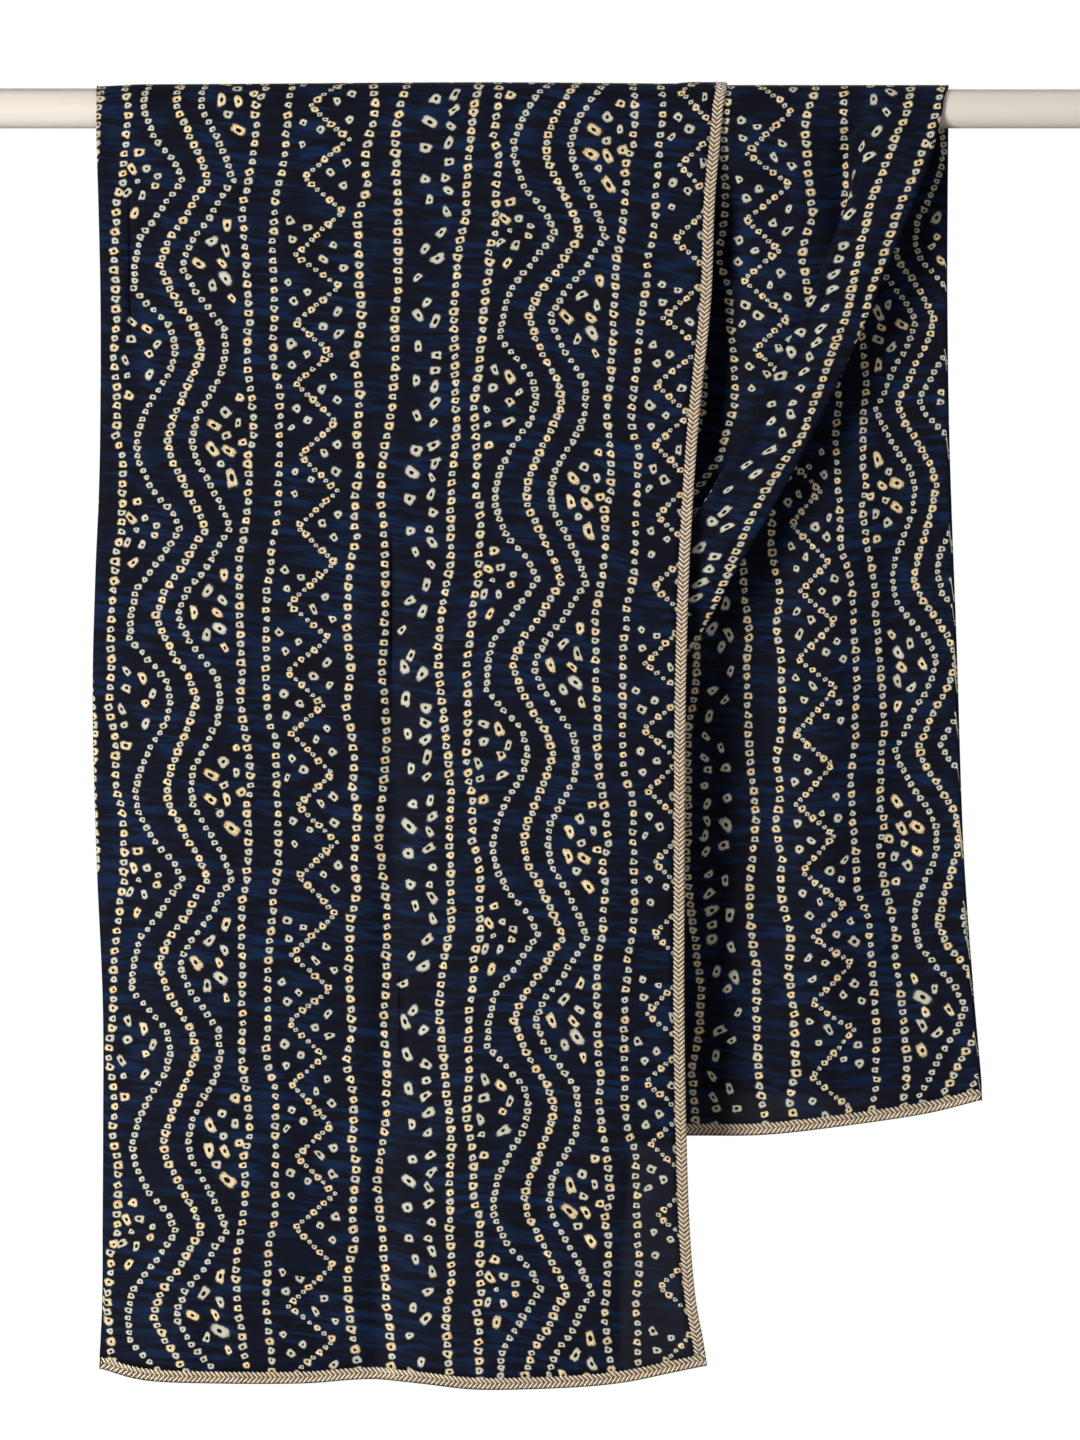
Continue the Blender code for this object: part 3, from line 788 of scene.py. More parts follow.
# The straight lines of dots: down the repeat, then how far across it each of the six lines lies.
LINES = (
    (0, 11.9, 90.3, 111.2, 162.8, 176.9, 221.9),
    (10, 11.8, 92.5, 111.2, 162.0, 176.0, 221.6),
    (22, 11.7, 91.9, 111.2, 160.1, 176.5, 221.3),
    (36, 11.6, 91.1, 111.2, 159.6, 178.1, 221.6),
    (48, 11.6, 89.7, 108.6, 162.0, 179.5, 221.9),
    (54, 8.0, 87.8, 107.0, 160.5, 180.1, 222.1),
    (66, 8.1, 86.8, 107.3, 157.2, 180.6, 222.4),
    (80, 6.4, 87.1, 105.2, 156.7, 180.6, 219.3),
    (94, 5.0, 87.5, 104.7, 156.6, 180.6, 216.6),
    (108, 5.1, 87.9, 104.7, 156.7, 180.6, 215.7),
    (120, 5.2, 88.2, 104.7, 157.9, 179.6, 215.1),
    (132, 5.3, 89.3, 104.7, 159.1, 178.8, 216.0),
    (146, 4.2, 87.9, 104.7, 156.7, 180.7, 217.4),
    (156, 3.8, 89.0, 104.7, 155.8, 181.2, 218.4),
    (164, 5.8, 89.8, 106.6, 158.2, 181.6, 219.2),
    (176, 7.4, 92.4, 110.9, 160.5, 181.5, 220.4),
    (190, 8.0, 93.7, 110.8, 160.6, 180.8, 221.8),
    (204, 7.3, 94.5, 110.7, 159.2, 179.0, 223.0),
)
# Where each straight line's share of the repeat starts, dots in a repeat, half size, every which dot is gold.
LINE_SHARES = (
    (0, 36, 2.55, 2),
    (45, 37, 2.45, 3),
    (98, 36, 2.35, 3),
    (135, 35, 2.60, 2),
    (169, 36, 2.55, 2),
    (200, 39, 2.50, 2),
)
# The three wavy lines, in the same way.
WAVES = (
    (0, 21.2, 42.2, 57.9),
    (8, 24.9, 47.4, 63.1),
    (19, 30.4, 52.9, 69.7),
    (32, 43.2, 60.4, 76.3),
    (44, 49.2, 65.3, 80.8),
    (53, 42.6, 58.7, 74.3),
    (66, 33.1, 51.7, 67.1),
    (81, 21.4, 40.1, 54.8),
    (97, 17.9, 33.9, 47.4),
    (112, 16.9, 39.8, 54.3),
    (125, 28.8, 47.2, 64.6),
    (137, 40.4, 55.9, 73.3),
    (150, 43.3, 59.9, 75.1),
    (164, 40.4, 55.4, 73.1),
    (178, 30.9, 49.5, 65.8),
    (192, 24.0, 43.7, 57.9),
    (206, 20.3, 40.2, 55.6),
)
# Their dots in a repeat, half size, and every which dot is gold, where any is.
WAVE_DOTS = ((48, 2.15, 0), (46, 2.40, 2), (47, 2.15, 0))
# The tips of the zigzag line: down the repeat and across it. It has two dots for each of its cells.
ZIGZAG_CELLS = 35
ZIGZAG = (
    (18.8, 148.7),
    (41.9, 123.8),
    (63.3, 147.9),
    (90.6, 118.9),
    (110.2, 145.0),
    (132.5, 117.8),
    (152.3, 141.5),
    (170.6, 120.1),
    (194.5, 146.3),
    (215.6, 124.2),
)
# The loose dots: down the repeat, across it, half size, and style, which is a key of SHAPES, or that and
# GOLD for a gold dot.
POCKET_LEFT = (
    (26.2, 21.2, 3.5, 5),
    (36.7, 17.5, 3.6, 6),
    (44.2, 20.8, 2.0, 0),
    (51.6, 15.1, 3.1, 2),
    (64.4, 19.2, 3.5, 7),
    (132.0, 15.4, 3.2, 1),
    (143.0, 15.1, 3.5, 0),
    (156.2, 11.9, 3.0, 1),
    (165.6, 13.2, 2.6, 0),
    (178.6, 14.8, 3.4, 5),
)
POCKET_RIGHT = (
    (36.4, 26.1, 2.9, 0),
    (40.9, 33.6, 2.6, 0),
    (47.2, 32.5, 2.6, 5),
    (53.1, 24.5, 3.2, 3),
    (136.4, 25.3, 3.9, 6),
    (146.1, 31.5, 3.1, 2),
    (152.3, 26.9, 3.0, 9),
    (164.8, 26.9, 3.8, 2),
)
LARGE_LEFT = (
    (2.7, 73.9, 3.0, 0),
    (82.0, 66.6, 3.8, 2),
    (95.6, 58.1, 4.1, 6),
    (109.8, 66.1, 3.4, 3),
    (196.6, 69.4, 4.1, 6),
    (207.3, 87.9, 3.4, 5),
)
LARGE_RIGHT = (
    (11.9, 81.4, 4.7, 6),
    (71.9, 77.1, 3.9, 8),
    (87.8, 76.0, 3.6, 1),
    (105.0, 74.2, 5.0, 1),
    (117.5, 78.2, 3.1, 6),
    (179.7, 84.8, 3.2, 5),
    (188.8, 76.8, 3.6, 4),
    (195.3, 84.8, 3.2, 3),
    (203.1, 77.6, 3.0, 0),
    (212.5, 79.0, 4.0, 6),
)
LARGE_BETWEEN = (
    (95.6, 72.6, 3.6, 6),
    (211.7, 68.7, 4.5, 6),
)
TEETH_LEFT = (
    (7.5, 120.9, 2.9, 4),
    (12.2, 131.5, 2.6, 4),
    (21.6, 121.7, 2.6, 4),
    (69.2, 116.5, 3.0, 4),
    (73.0, 126.7, 2.8, 0),
    (80.8, 117.3, 2.9, 0),
    (107.8, 113.3, 2.9, 4),
    (113.6, 124.9, 3.0, 4),
    (119.5, 117.3, 3.1, 4),
    (146.1, 115.7, 3.5, 4),
    (152.3, 126.2, 2.9, 4),
    (159.4, 117.0, 3.0, 4),
    (186.4, 121.0, 3.2, 4),
    (193.3, 128.3, 3.4, 4),
    (198.4, 118.1, 2.6, 2),
)
TEETH_RIGHT = (
    (6.9, 147.6, 3.1, 4),
    (33.3, 149.2, 3.1, 4),
    (39.1, 139.9, 2.9, 4),
    (47.7, 147.6, 2.8, 4),
    (84.4, 141.8, 2.8, 0),
    (93.0, 135.3, 3.2, 1),
    (98.0, 147.1, 3.0, 4),
    (125.5, 143.6, 3.0, 2),
    (135.2, 135.0, 3.2, 4),
    (139.1, 145.0, 3.2, 2),
    (166.4, 143.4, 2.9, 4),
    (174.2, 136.2, 2.9, 3),
    (180.8, 146.8, 3.0, 4),
    (208.6, 147.6, 3.4, 4),
    (213.3, 139.1, 3.1, 1),
)
LOOSE_LEFT = (
    (7.2, 195.6, 4.6, 1),
    (23.8, 194.7, 3.8, 0),
    (43.1, 195.6, 3.5, 0),
    (55.6, 199.4, 3.4, 3),
    (86.2, 196.6, 3.2, 2),
    (104.1, 192.2, 3.0, 2),
    (127.5, 193.1, 3.9, 1),
    (146.9, 194.7, 4.0, 3),
    (168.1, 195.2, 3.8, 3),
    (190.0, 197.5, 3.6, 3),
    (211.9, 197.8, 3.9, 0),
)
LOOSE_RIGHT = (
    (0.9, 210.0, 3.5, 2),
    (10.3, 208.5, 3.0, 1),
    (20.6, 208.4, 3.5, 2),
    (32.2, 210.0, 3.4, 0),
    (42.5, 208.1, 3.0, 0),
    (50.0, 210.0, 3.6, 1),
    (63.4, 209.8, 3.2, 1),
    (75.9, 206.9, 3.5, 2),
    (92.5, 204.4, 4.1, 2),
    (119.7, 197.8, 3.6, 2),
    (131.2, 204.4, 4.1, 2),
    (152.5, 206.9, 3.8, 0),
    (161.9, 206.9, 3.6, 0),
    (171.9, 206.6, 3.9, 2),
    (182.2, 208.1, 3.8, 2),
    (194.7, 207.5, 3.1, 2),
    (208.8, 209.4, 3.8, 2),
)
# Each chart is a column of dots down the cloth, in the order in which they are offered.
POCKETS = (POCKET_LEFT, POCKET_RIGHT)
LARGE = (LARGE_LEFT, LARGE_RIGHT, LARGE_BETWEEN)
TEETH = (TEETH_LEFT, TEETH_RIGHT)
LOOSE = (LOOSE_LEFT, LOOSE_RIGHT)
# Shapes of dot: turn in degrees, and length for its width.
SHAPES = ((0, 1.20), (52, 1.75), (-50, 1.70), (88, 1.50), (45, 1.06))
GOLD = len(SHAPES)
# The sizes of a pale dot and a gold one: as shares of their line's, and as millimetres on the zigzag.
# A loose dot is drawn at this share of its size in the charts.
LINE_SIZES, WAVE_SIZES, ZIGZAG_HALVES = (0.97, 1.10), (0.94, 1.14), (1.55, 2.40)
LOOSE_SIZE = 0.925
# A ramp holds numbers from 0 to 1, so each is divided by its span. Places down the repeat are counted from
# DOWN_STARTS before it.
COUNT_SPAN, HALF_SPAN, EVERY_SPAN, STYLE_SPAN, SHAPE_SPAN, LENGTH_SPAN = 64, 8, 8, 16, 8, 2
DOWN_SPAN, DOWN_STARTS = 300, 40


def table_stops(rows, values):
    """Ramp stops for a table whose rows start with how far down they are, closed into a loop."""
    stops = [(row[0] / REPEAT_ALONG, values(row)) for row in rows]
    if stops[0][0] > 0:
        first, last = stops[0], stops[-1]
        gap = first[0] + 1 - last[0]
        share = (1 - last[0]) / gap
        seam = tuple(lerp(a, b, share) for a, b in zip(last[1], first[1]))
        return [(0.0, seam), *stops, (1.0, seam)]
    return [*stops, (1.0, stops[0][1])]


def chart_stops(rows):
    """Ramp stops that give the nearest loose dot: across, down, half size and style."""
    first, last = rows[0], rows[-1]
    rows = [(last[0] - REPEAT_ALONG, *last[1:]), *rows, (first[0] + REPEAT_ALONG, *first[1:])]
    stops = []
    for before, row in zip([None, *rows], rows):
        starts = 0.0 if before is None else (before[0] + row[0]) / 2
        if starts >= REPEAT_ALONG:
            continue
        down, across, half, style = row
        place = (across / REPEAT_ACROSS, (down + DOWN_STARTS) / DOWN_SPAN)
        colour = (*place, half / HALF_SPAN, style / STYLE_SPAN)
        if starts <= 0:
            stops = [(0.0, colour)]
        else:
            stops.append((starts / REPEAT_ALONG, colour))
    return stops


class Dots:
    """The dot nearest to each place of the cloth, chosen one candidate after another."""

    def __init__(self, finish, across, down):
        self.finish, self.across, self.down = finish, across, down
        self.nearest = None

    def offer(self, dot_across, dot_down, half, style):
        """A dot that may be nearest: its middle, half size and style."""
        finish = self.finish
        off_across, off_down = self.across - dot_across, self.down - dot_down
        off = finish.vector(off_across, off_down, half)
        which = finish.vector(dot_across, dot_down, style)
        far = finish.length(off_across, off_down) - half
        if self.nearest is None:
            self.nearest, self.off, self.which = far, off, which
            return
        closer = far < self.nearest
        self.off = finish.pick(closer, self.off, off)
        self.which = finish.pick(closer, self.which, which)
        self.nearest = self.nearest.least(far)

    def cell(self, count):
        """The number of the cell in a line with that many dots in a repeat, and its middle."""
        number = (self.down * count / REPEAT_ALONG).floor()
        return number, (number + 0.5) * REPEAT_ALONG / count

    def offer_lines(self):
        finish, span = self.finish, REPEAT_ACROSS
        stops = []
        for start, count, half, every in LINE_SHARES:
            stops.append((start / span, (count / COUNT_SPAN, half / HALF_SPAN, every / EVERY_SPAN, 1.0)))
        share = finish.ramp(self.across / span, stops, "CONSTANT").parts()
        count, half, every = share[0] * COUNT_SPAN, share[1] * HALF_SPAN, share[2] * EVERY_SPAN
        number, middle = self.cell(count)
        columns = []
        for places in (slice(1, 4), slice(4, 7)):
            stops = table_stops(LINES, lambda row: (*(place / span for place in row[places]), 1.0))
            columns += finish.ramp(middle / REPEAT_ALONG, stops, "LINEAR").parts()
        line = columns[0]
        for column, (start, *_) in zip(columns[1:], LINE_SHARES[1:]):
            line = finish.node("ShaderNodeMix", {"data_type": "FLOAT"}, self.across > start, line, column)
        gold = number.wrap(every) < 0.5
        self.offer(line * span, middle, half * lerp(*LINE_SIZES, gold), GOLD * gold)

    def offer_waves(self):
        stops = table_stops(WAVES, lambda row: (*(place / REPEAT_ACROSS for place in row[1:]), 1.0))
        for line, (count, half, every) in enumerate(WAVE_DOTS):
            number, middle = self.cell(count)
            place = self.finish.ramp(middle / REPEAT_ALONG, stops, "LINEAR").parts()[line] * REPEAT_ACROSS
            if every:
                gold = number.wrap(every) < 0.5
                self.offer(place, middle, half * lerp(*WAVE_SIZES, gold), GOLD * gold)
            else:
                self.offer(place, middle, half, 0.0)

    def offer_zigzag(self):
        """Its dots lie close, so each place is offered one on its cell's middle and one on its border."""
        stops = table_stops(ZIGZAG, lambda row: (row[1] / REPEAT_ACROSS, 0.0, 0.0, 1.0))
        for lead in (0.0, 0.5):
            cell = (self.down * (ZIGZAG_CELLS / REPEAT_ALONG) + lead).floor() + (0.5 - lead)
            middle = cell * (REPEAT_ALONG / ZIGZAG_CELLS)
            way = middle.wrap(REPEAT_ALONG) / REPEAT_ALONG
            place = self.finish.ramp(way, stops, "LINEAR").parts()[0]
            # Two in every five are gold, apart from each other.
            gold = ((cell * 2).floor() * 2).wrap(5) < 1.5
            self.offer(place * REPEAT_ACROSS, middle, lerp(*ZIGZAG_HALVES, gold), GOLD * gold)

    def offer_chart(self, rows):
        ramp = self.finish.ramp(self.down / REPEAT_ALONG, chart_stops(rows), "CONSTANT")
        across, down, half = ramp.parts()
        style = Wire(self.finish, ramp.socket.node.outputs["Alpha"])
        down = down * DOWN_SPAN - DOWN_STARTS
        half = half * (HALF_SPAN * LOOSE_SIZE)
        self.offer(across * REPEAT_ACROSS, down, half, (style * STYLE_SPAN + 0.5).floor())


# The dyed ground, its streaks, the halo of a dot, and the ground where light comes through.
NIGHT = (0.0029, 0.0030, 0.0072, 1.0)
INDIGO = (0.0036, 0.0146, 0.0480, 1.0)
HALO = (0.050, 0.066, 0.088, 1.0)
SEEN_THROUGH = (0.0150, 0.0155, 0.0210, 1.0)
# Pale and gold dots: colour, colour at the rim or where stained, and what some of them tend to. Then what
# dulls some of both, and their cores.
PALE, PALE_RIM, STRAW = (0.640, 0.605, 0.480, 1.0), (0.230, 0.262, 0.260, 1.0), (0.680, 0.590, 0.400, 1.0)
CREAM, OCHRE, SAND = (0.940, 0.780, 0.470, 1.0), (0.520, 0.305, 0.100, 1.0), (0.780, 0.700, 0.480, 1.0)
DULL, CORE = (0.30, 0.27, 0.20, 1.0), (0.006, 0.006, 0.011, 1.0)
# The largest share of each colour that is mixed in, and the smallest of the indigo where no clouds gather it.
HALO_SHARE, SEEN_THROUGH_SHARE, DULL_SHARE, LEAST_INDIGO = 0.30, 0.5, 0.30, 0.25
PALE_RIM_SHARE, STRAW_SHARE, OCHRE_SHARE, SAND_SHARE = 0.85, 0.5, 0.80, 0.4
MILLIMETRES = 1000
# How far the rows wander, in millimetres, and the scale of that noise.
WANDER, WANDER_SCALE = 1.3, 0.16
# What sets the same dot apart in another repeat across or along.
REPEAT_SEEDS = (31.7, 17.3)
# How much one dot differs from the next: its turn in radians, its length for its width, its place in
# millimetres, its size, how strong its three and its four corners are, how far round the three lie, in
# radians, and how ragged its edge is.
TURN_VARIES, LENGTH_VARIES, PLACE_VARIES = 0.9, (-0.12, 0.18), (0.9, 0.5)
TIED_SIZE, THREE_CORNERS, FOUR_CORNERS = (0.80, 1.04), (0.02, 0.12), (0.03, 0.11)
CORNERS_TURN = 7
RAGGED, RAGGED_SCALE = 0.40, 0.70
# The core is narrower along the dot and off its middle. Its edge is a share of the dot's half size.
CORE_NARROWER, CORE_VARIES, CORE_EDGE, CORE_SOFT = 1.15, 0.7, (0.27, 0.44), 0.08
# Where a dot's edge, rim and halo lie, as shares of its half size.
DOT_EDGE, RIM, HALO_REACH = (0.93, 1.05), (0.66, 0.98), (1.0, 1.42)
# The streaks and the clouds that gather them: scales across and along, and the part of the noise that shows.
WEFT_TILT = 0.09
STREAKS, STREAKS_SHOW = (0.030, 0.21), (0.42, 0.66)
CLOUDS, CLOUDS_SHOW = (0.034, 0.024), (0.34, 0.60)
STAIN_SCALE, STAINS_SHOW = 0.75, (0.44, 0.64)
# Where a single layer hangs free, in millimetres on the cloth: beside the under flap, whose edge slants,
# and at the back hem.
FLAP_EDGE, FLAP_SLANT, FLAP_SLANTS_BELOW = 42.5, 0.10, -660.0
BESIDE_FLAP, BESIDE_FLAP_ALONG = (2.0, -2.0), (-638.0, -646.0)
BACK_HEM_ACROSS, BACK_HEM_ALONG = (330.0, 200.0), (598.0, 602.0)
# The weave: the pitch of its yarns, the scale of its slubs across and along, how high each stands in the
# relief, and how rough it is.
YARN_PITCH, SLUBS = 0.9, (0.05, 0.9)
YARNS_STAND, SLUBS_STAND = 0.5, 1.2
CLOTH_ROUGHNESS = 0.72


def spread(chance, width):
    """A chance from 0 to 1 as a number of that spread about 0."""
    return (chance - 0.5) * width


def lay_dots(finish, cloth_across, cloth_along):
    """The nearest dot to each place, and the number of its repeat across and along."""
    # A slow wander keeps the rows from running dead straight.
    wander = finish.noise(finish.vector(cloth_across, cloth_along), WANDER_SCALE, detail=1.0, out=1).parts()
    across = cloth_across + spread(wander[0], WANDER)
    along = cloth_along + spread(wander[1], WANDER)
    from_start = PRINT_STARTS_ACROSS - across
    copy = (from_start / REPEAT_ACROSS).floor()
    down = PRINT_STARTS_DOWN - along - copy * REPEAT_DROP
    turn = (down / REPEAT_ALONG).floor()
    dots = Dots(finish, from_start - copy * REPEAT_ACROSS, down - turn * REPEAT_ALONG)
    dots.offer_lines()
    dots.offer_waves()
    dots.offer_zigzag()
    for rows in (*POCKETS, *LARGE, *TEETH, *LOOSE):
        dots.offer_chart(rows)
    return dots, copy, turn


def tie_dot(finish, dots, copy, turn, ragged):
    """The nearest dot as if tied by hand, with its own size, turn, corners and core.

    Gives how far out a place is, from 0 in the dot's middle to 1 at its edge, whether it is in the core,
    whether the dot is gold, and three numbers from 0 to 1 that are the dot's own.
    """
    off_across, off_down, half = dots.off.parts()
    dot_across, dot_down, style = dots.which.parts()
    gold = style > GOLD - 0.5
    shape = style - GOLD * gold
    seed = finish.vector(dot_across + copy * REPEAT_SEEDS[0], dot_down + turn * REPEAT_SEEDS[1], style)
    chance = finish.node("ShaderNodeTexWhiteNoise", {"noise_dimensions": "3D"}, seed, out=1).parts()
    stops = []
    for key, (degrees, long) in enumerate(SHAPES):
        stops.append((key / SHAPE_SPAN, (degrees / 360 + 0.5, long / LENGTH_SPAN, 0.0, 1.0)))
    form = finish.ramp((shape + 0.5) / SHAPE_SPAN, stops, "CONSTANT").parts()
    heading = spread(form[0], 2 * math.pi) + spread(chance[0], TURN_VARIES)
    long = form[1] * LENGTH_SPAN + lerp(*LENGTH_VARIES, chance[1])
    half = half * lerp(*TIED_SIZE, chance[2])
    off_across = off_across + spread(chance[1], PLACE_VARIES[0])
    off_down = off_down + spread(chance[0], PLACE_VARIES[1])
    turned, tilted = heading.cosine(), heading.sine()
    lengthwise = (off_across * turned + off_down * tilted) / long.root()
    sideways = (off_down * turned - off_across * tilted) * long.root()
    round_turn = sideways.heading(lengthwise)
    three_sided = (round_turn * 3 + chance[2] * CORNERS_TURN).cosine() * lerp(*THREE_CORNERS, chance[0])
    four_sided = (round_turn * 4).cosine() * lerp(*FOUR_CORNERS, chance[1])
    far = finish.length(lengthwise, sideways) * (1 + three_sided + four_sided) / half
    far = far + spread(ragged, RAGGED)
    core_across = lengthwise * CORE_NARROWER + spread(chance[2], CORE_VARIES)
    core_down = sideways + spread(chance[0], CORE_VARIES)
    core_edge = lerp(*CORE_EDGE, chance[1])
    core = 1 - (finish.length(core_across, core_down) / half).between(core_edge, core_edge + CORE_SOFT)
    return far, core, gold, chance


def dye_ground(finish, cloth_across, cloth_along, far):
    """Night blue with lighter indigo streaks along the weft, which tilts a little."""
    weft = cloth_along - cloth_across * WEFT_TILT
    streaks = finish.scaled(cloth_across, weft, STREAKS)
    streaks = finish.noise(streaks, detail=3.0, roughness=0.60, distortion=0.6)
    clouds = finish.noise(finish.scaled(cloth_across, weft, CLOUDS), detail=1.0)
    bluer = streaks.between(*STREAKS_SHOW) * lerp(LEAST_INDIGO, 1.0, clouds.between(*CLOUDS_SHOW))
    ground = finish.blend(bluer, NIGHT, INDIGO)
    ground = finish.blend((1 - far.between(*HALO_REACH)) * HALO_SHARE, ground, HALO)

    # Light comes through where nothing hangs behind a single layer.
    flap_edge = FLAP_EDGE + (FLAP_SLANTS_BELOW - cloth_along).most(0.0) * FLAP_SLANT
    beside_flap = (cloth_across - flap_edge).between(*BESIDE_FLAP) * cloth_along.between(*BESIDE_FLAP_ALONG)
    at_back_hem = cloth_along.between(*BACK_HEM_ALONG) * cloth_across.between(*BACK_HEM_ACROSS)
    return finish.blend(beside_flap.most(at_back_hem) * SEEN_THROUGH_SHARE, ground, SEEN_THROUGH)


def dye_dots(finish, cloth, far, core, gold, chance):
    """Pale or gold dots, darker at the rim, each a little different, with a core of the ground's dark."""
    rim = far.between(*RIM)
    pale = finish.blend(rim * PALE_RIM_SHARE, PALE, PALE_RIM)
    pale = finish.blend(chance[1] * STRAW_SHARE, pale, STRAW)
    stain = finish.noise(cloth, STAIN_SCALE).between(*STAINS_SHOW)
    cream = finish.blend((rim * OCHRE_SHARE + stain * OCHRE_SHARE).least(1.0), CREAM, OCHRE)
    cream = finish.blend(chance[0] * SAND_SHARE, cream, SAND)
    tied = finish.blend(gold, pale, cream)
    tied = finish.blend(chance[2] * DULL_SHARE, tied, DULL)
    return finish.blend(core, tied, CORE)


def make_print():
    finish = Finish("tie_dyed_voile", NIGHT[:3], CLOTH_ROUGHNESS)
    place = finish.node("ShaderNodeUVMap", {"uv_map": "cloth"})
    cloth_across, cloth_along, _ = (part * MILLIMETRES for part in place.parts())
    cloth = finish.vector(cloth_across, cloth_along)
    dots, copy, turn = lay_dots(finish, cloth_across, cloth_along)
    ragged = finish.noise(cloth, RAGGED_SCALE, detail=1.0)
    far, core, gold, chance = tie_dot(finish, dots, copy, turn, ragged)
    ground = dye_ground(finish, cloth_across, cloth_along, far)
    tied = dye_dots(finish, cloth, far, core, gold, chance)
    finish.surface("Base Color", finish.blend(1 - far.between(*DOT_EDGE), ground, tied))

    # Plain weave, felt more than seen.
    warp = (cloth_across * (2 * math.pi / YARN_PITCH)).sine()
    threads = (cloth_along * (2 * math.pi / YARN_PITCH)).sine()
    slub = finish.noise(finish.scaled(cloth_across, cloth_along, SLUBS))
    finish.relief(warp * threads * YARNS_STAND + slub * SLUBS_STAND, *WEAVE_RELIEF)
    finish.shader.inputs["Sheen Weight"].default_value = 0.02
    finish.shader.inputs["Sheen Roughness"].default_value = 0.45
    finish.shader.inputs["Specular IOR Level"].default_value = 0.08
    return finish.material


# Threads: name, colour on the crest and between the turns of the foil, roughness, metallic. Then the foil's
# turns and where it is worn: the scale of their noise, and the part of it that shows.
GOLD_THREAD = ("gold_thread", (0.63, 0.39, 0.09, 1.0), (0.26, 0.14, 0.030, 1.0), 0.40, 0.25)
SILVER_THREAD = ("silver_thread", (1.00, 0.97, 0.92, 1.0), (0.90, 0.81, 0.71, 1.0), 0.36, 0.10)
BRAID_GROUND = ("braid_ground", (0.100, 0.050, 0.026, 1.0), (0.04, 0.022, 0.012, 1.0), 0.7, 0.1)
FOIL_SCALE, FOIL_SHOWS = 1500.0, (0.38, 0.62)
WORN_SCALE, WORN_SHOWS, WORN_SHARE = 240.0, (0.52, 0.80), 0.5
# The rod's paint: its plain colour and the two that its brush marks mix, its plain roughness and that of
# the marks, their scale along the rod and across it, and the part of that noise that shows.
ROD_PAINT, ROD_LIGHT, ROD_DEEP = (0.76, 0.71, 0.63), (0.775, 0.715, 0.630, 1.0), (0.730, 0.660, 0.565, 1.0)
ROD_ROUGHNESS, MARKS_ROUGHNESS = 0.34, (0.30, 0.42)
MARKS, MARKS_SHOW = (6, 160, 160), (0.35, 0.70)
# Relief: its strength, and its height in metres.
WEAVE_RELIEF, FOIL_RELIEF, MARKS_RELIEF = (0.12, 0.0004), (0.25, 0.0003), (0.10, 0.0002)


def make_metal_thread(name, light, deep, roughness, metallic):
    """Foil wound on a core."""
    finish = Finish(name, light[:3], roughness, metallic)
    place = finish.node("ShaderNodeTexCoord", {}, out=3)
    turns = finish.noise(place, FOIL_SCALE, detail=1.0)
    worn = finish.noise(place, WORN_SCALE)
    colour = finish.blend(turns.between(*FOIL_SHOWS), deep, light)
    colour = finish.blend(worn.between(*WORN_SHOWS) * WORN_SHARE, colour, deep)
    finish.surface("Base Color", colour)
    finish.relief(turns, *FOIL_RELIEF)
    return finish.material


def make_rod_paint():
    finish = Finish("cream_lacquer", ROD_PAINT, ROD_ROUGHNESS)
    place = finish.node("ShaderNodeTexCoord", {}, out=3).parts()
    marks = finish.noise(finish.vector(*(part * scale for part, scale in zip(place, MARKS))), detail=3.0)
    finish.surface("Base Color", finish.blend(marks.between(*MARKS_SHOW), ROD_LIGHT, ROD_DEEP))
    finish.surface("Roughness", lerp(*MARKS_ROUGHNESS, marks))
    finish.relief(marks, *MARKS_RELIEF)
    return finish.material


def link_mesh(name, shape, materials):
    mesh = bpy.data.meshes.new(name)
    shape.to_mesh(mesh)
    shape.free()
    for material in materials:
        mesh.materials.append(material)
    mesh.shade_smooth()
    piece = bpy.data.objects.new(name, mesh)
    bpy.context.scene.collection.objects.link(piece)
    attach(piece, "root")
    return piece


def grid_through(shape, columns, places=None):
    """A sheet of faces through columns of points, with their places on the cloth as its UVs."""
    across, along = len(columns) - 1, len(columns[0]) - 1
    made = bmesh.ops.create_grid(shape, x_segments=across, y_segments=along, size=1.0)
    spots = {}
    for vertex in made["verts"]:
        spots[vertex] = (round((vertex.co.x + 1) / 2 * across), round((vertex.co.y + 1) / 2 * along))
    if places:
        layer = shape.loops.layers.uv["cloth"]
        for vertex, (column, row) in spots.items():
            for loop in vertex.link_loops:
                loop[layer].uv = places[column][row]
    for vertex, (column, row) in spots.items():
        vertex.co = columns[column][row]


def make_cloth(name, columns, places, thickness, material):
    shape = bmesh.new()
    shape.loops.layers.uv.new("cloth")
    grid_through(shape, columns, places)
    piece = link_mesh(name, shape, [material])
    shell = piece.modifiers.new("shell", "SOLIDIFY")
    shell.thickness = thickness
    shell.offset = 0.0
    return piece


# A braid: how far apart its chevrons are, one gold and one silver strand each, how steep their arms, and
# half the width and half the depth of each strand.
CHEVRON_PITCH = 0.0029
ARM_SLOPE = math.radians(47)
GOLD_STRAND = (0.00032, 0.00034)
SILVER_STRAND = (0.00049, 0.00060)
STRAND_SIDES, STRAND_RINGS = 6, 5
# A strand runs past the ends of its arm: this is its half length for each length of arm. As shares of the
# half width of the braid, arms cross the middle by this much, and arms that end shorter are left out.
STRAND_REACH = 0.56
ARMS_CROSS = 0.06
SHORTEST_ARM = 0.2
TAPE_THICKNESS = 0.0005


def run_along(points):
    """The length up to each point of a line."""
    runs = [0.0]
    for a, b in zip(points, points[1:]):
        runs.append(runs[-1] + (b - a).length)
    return runs


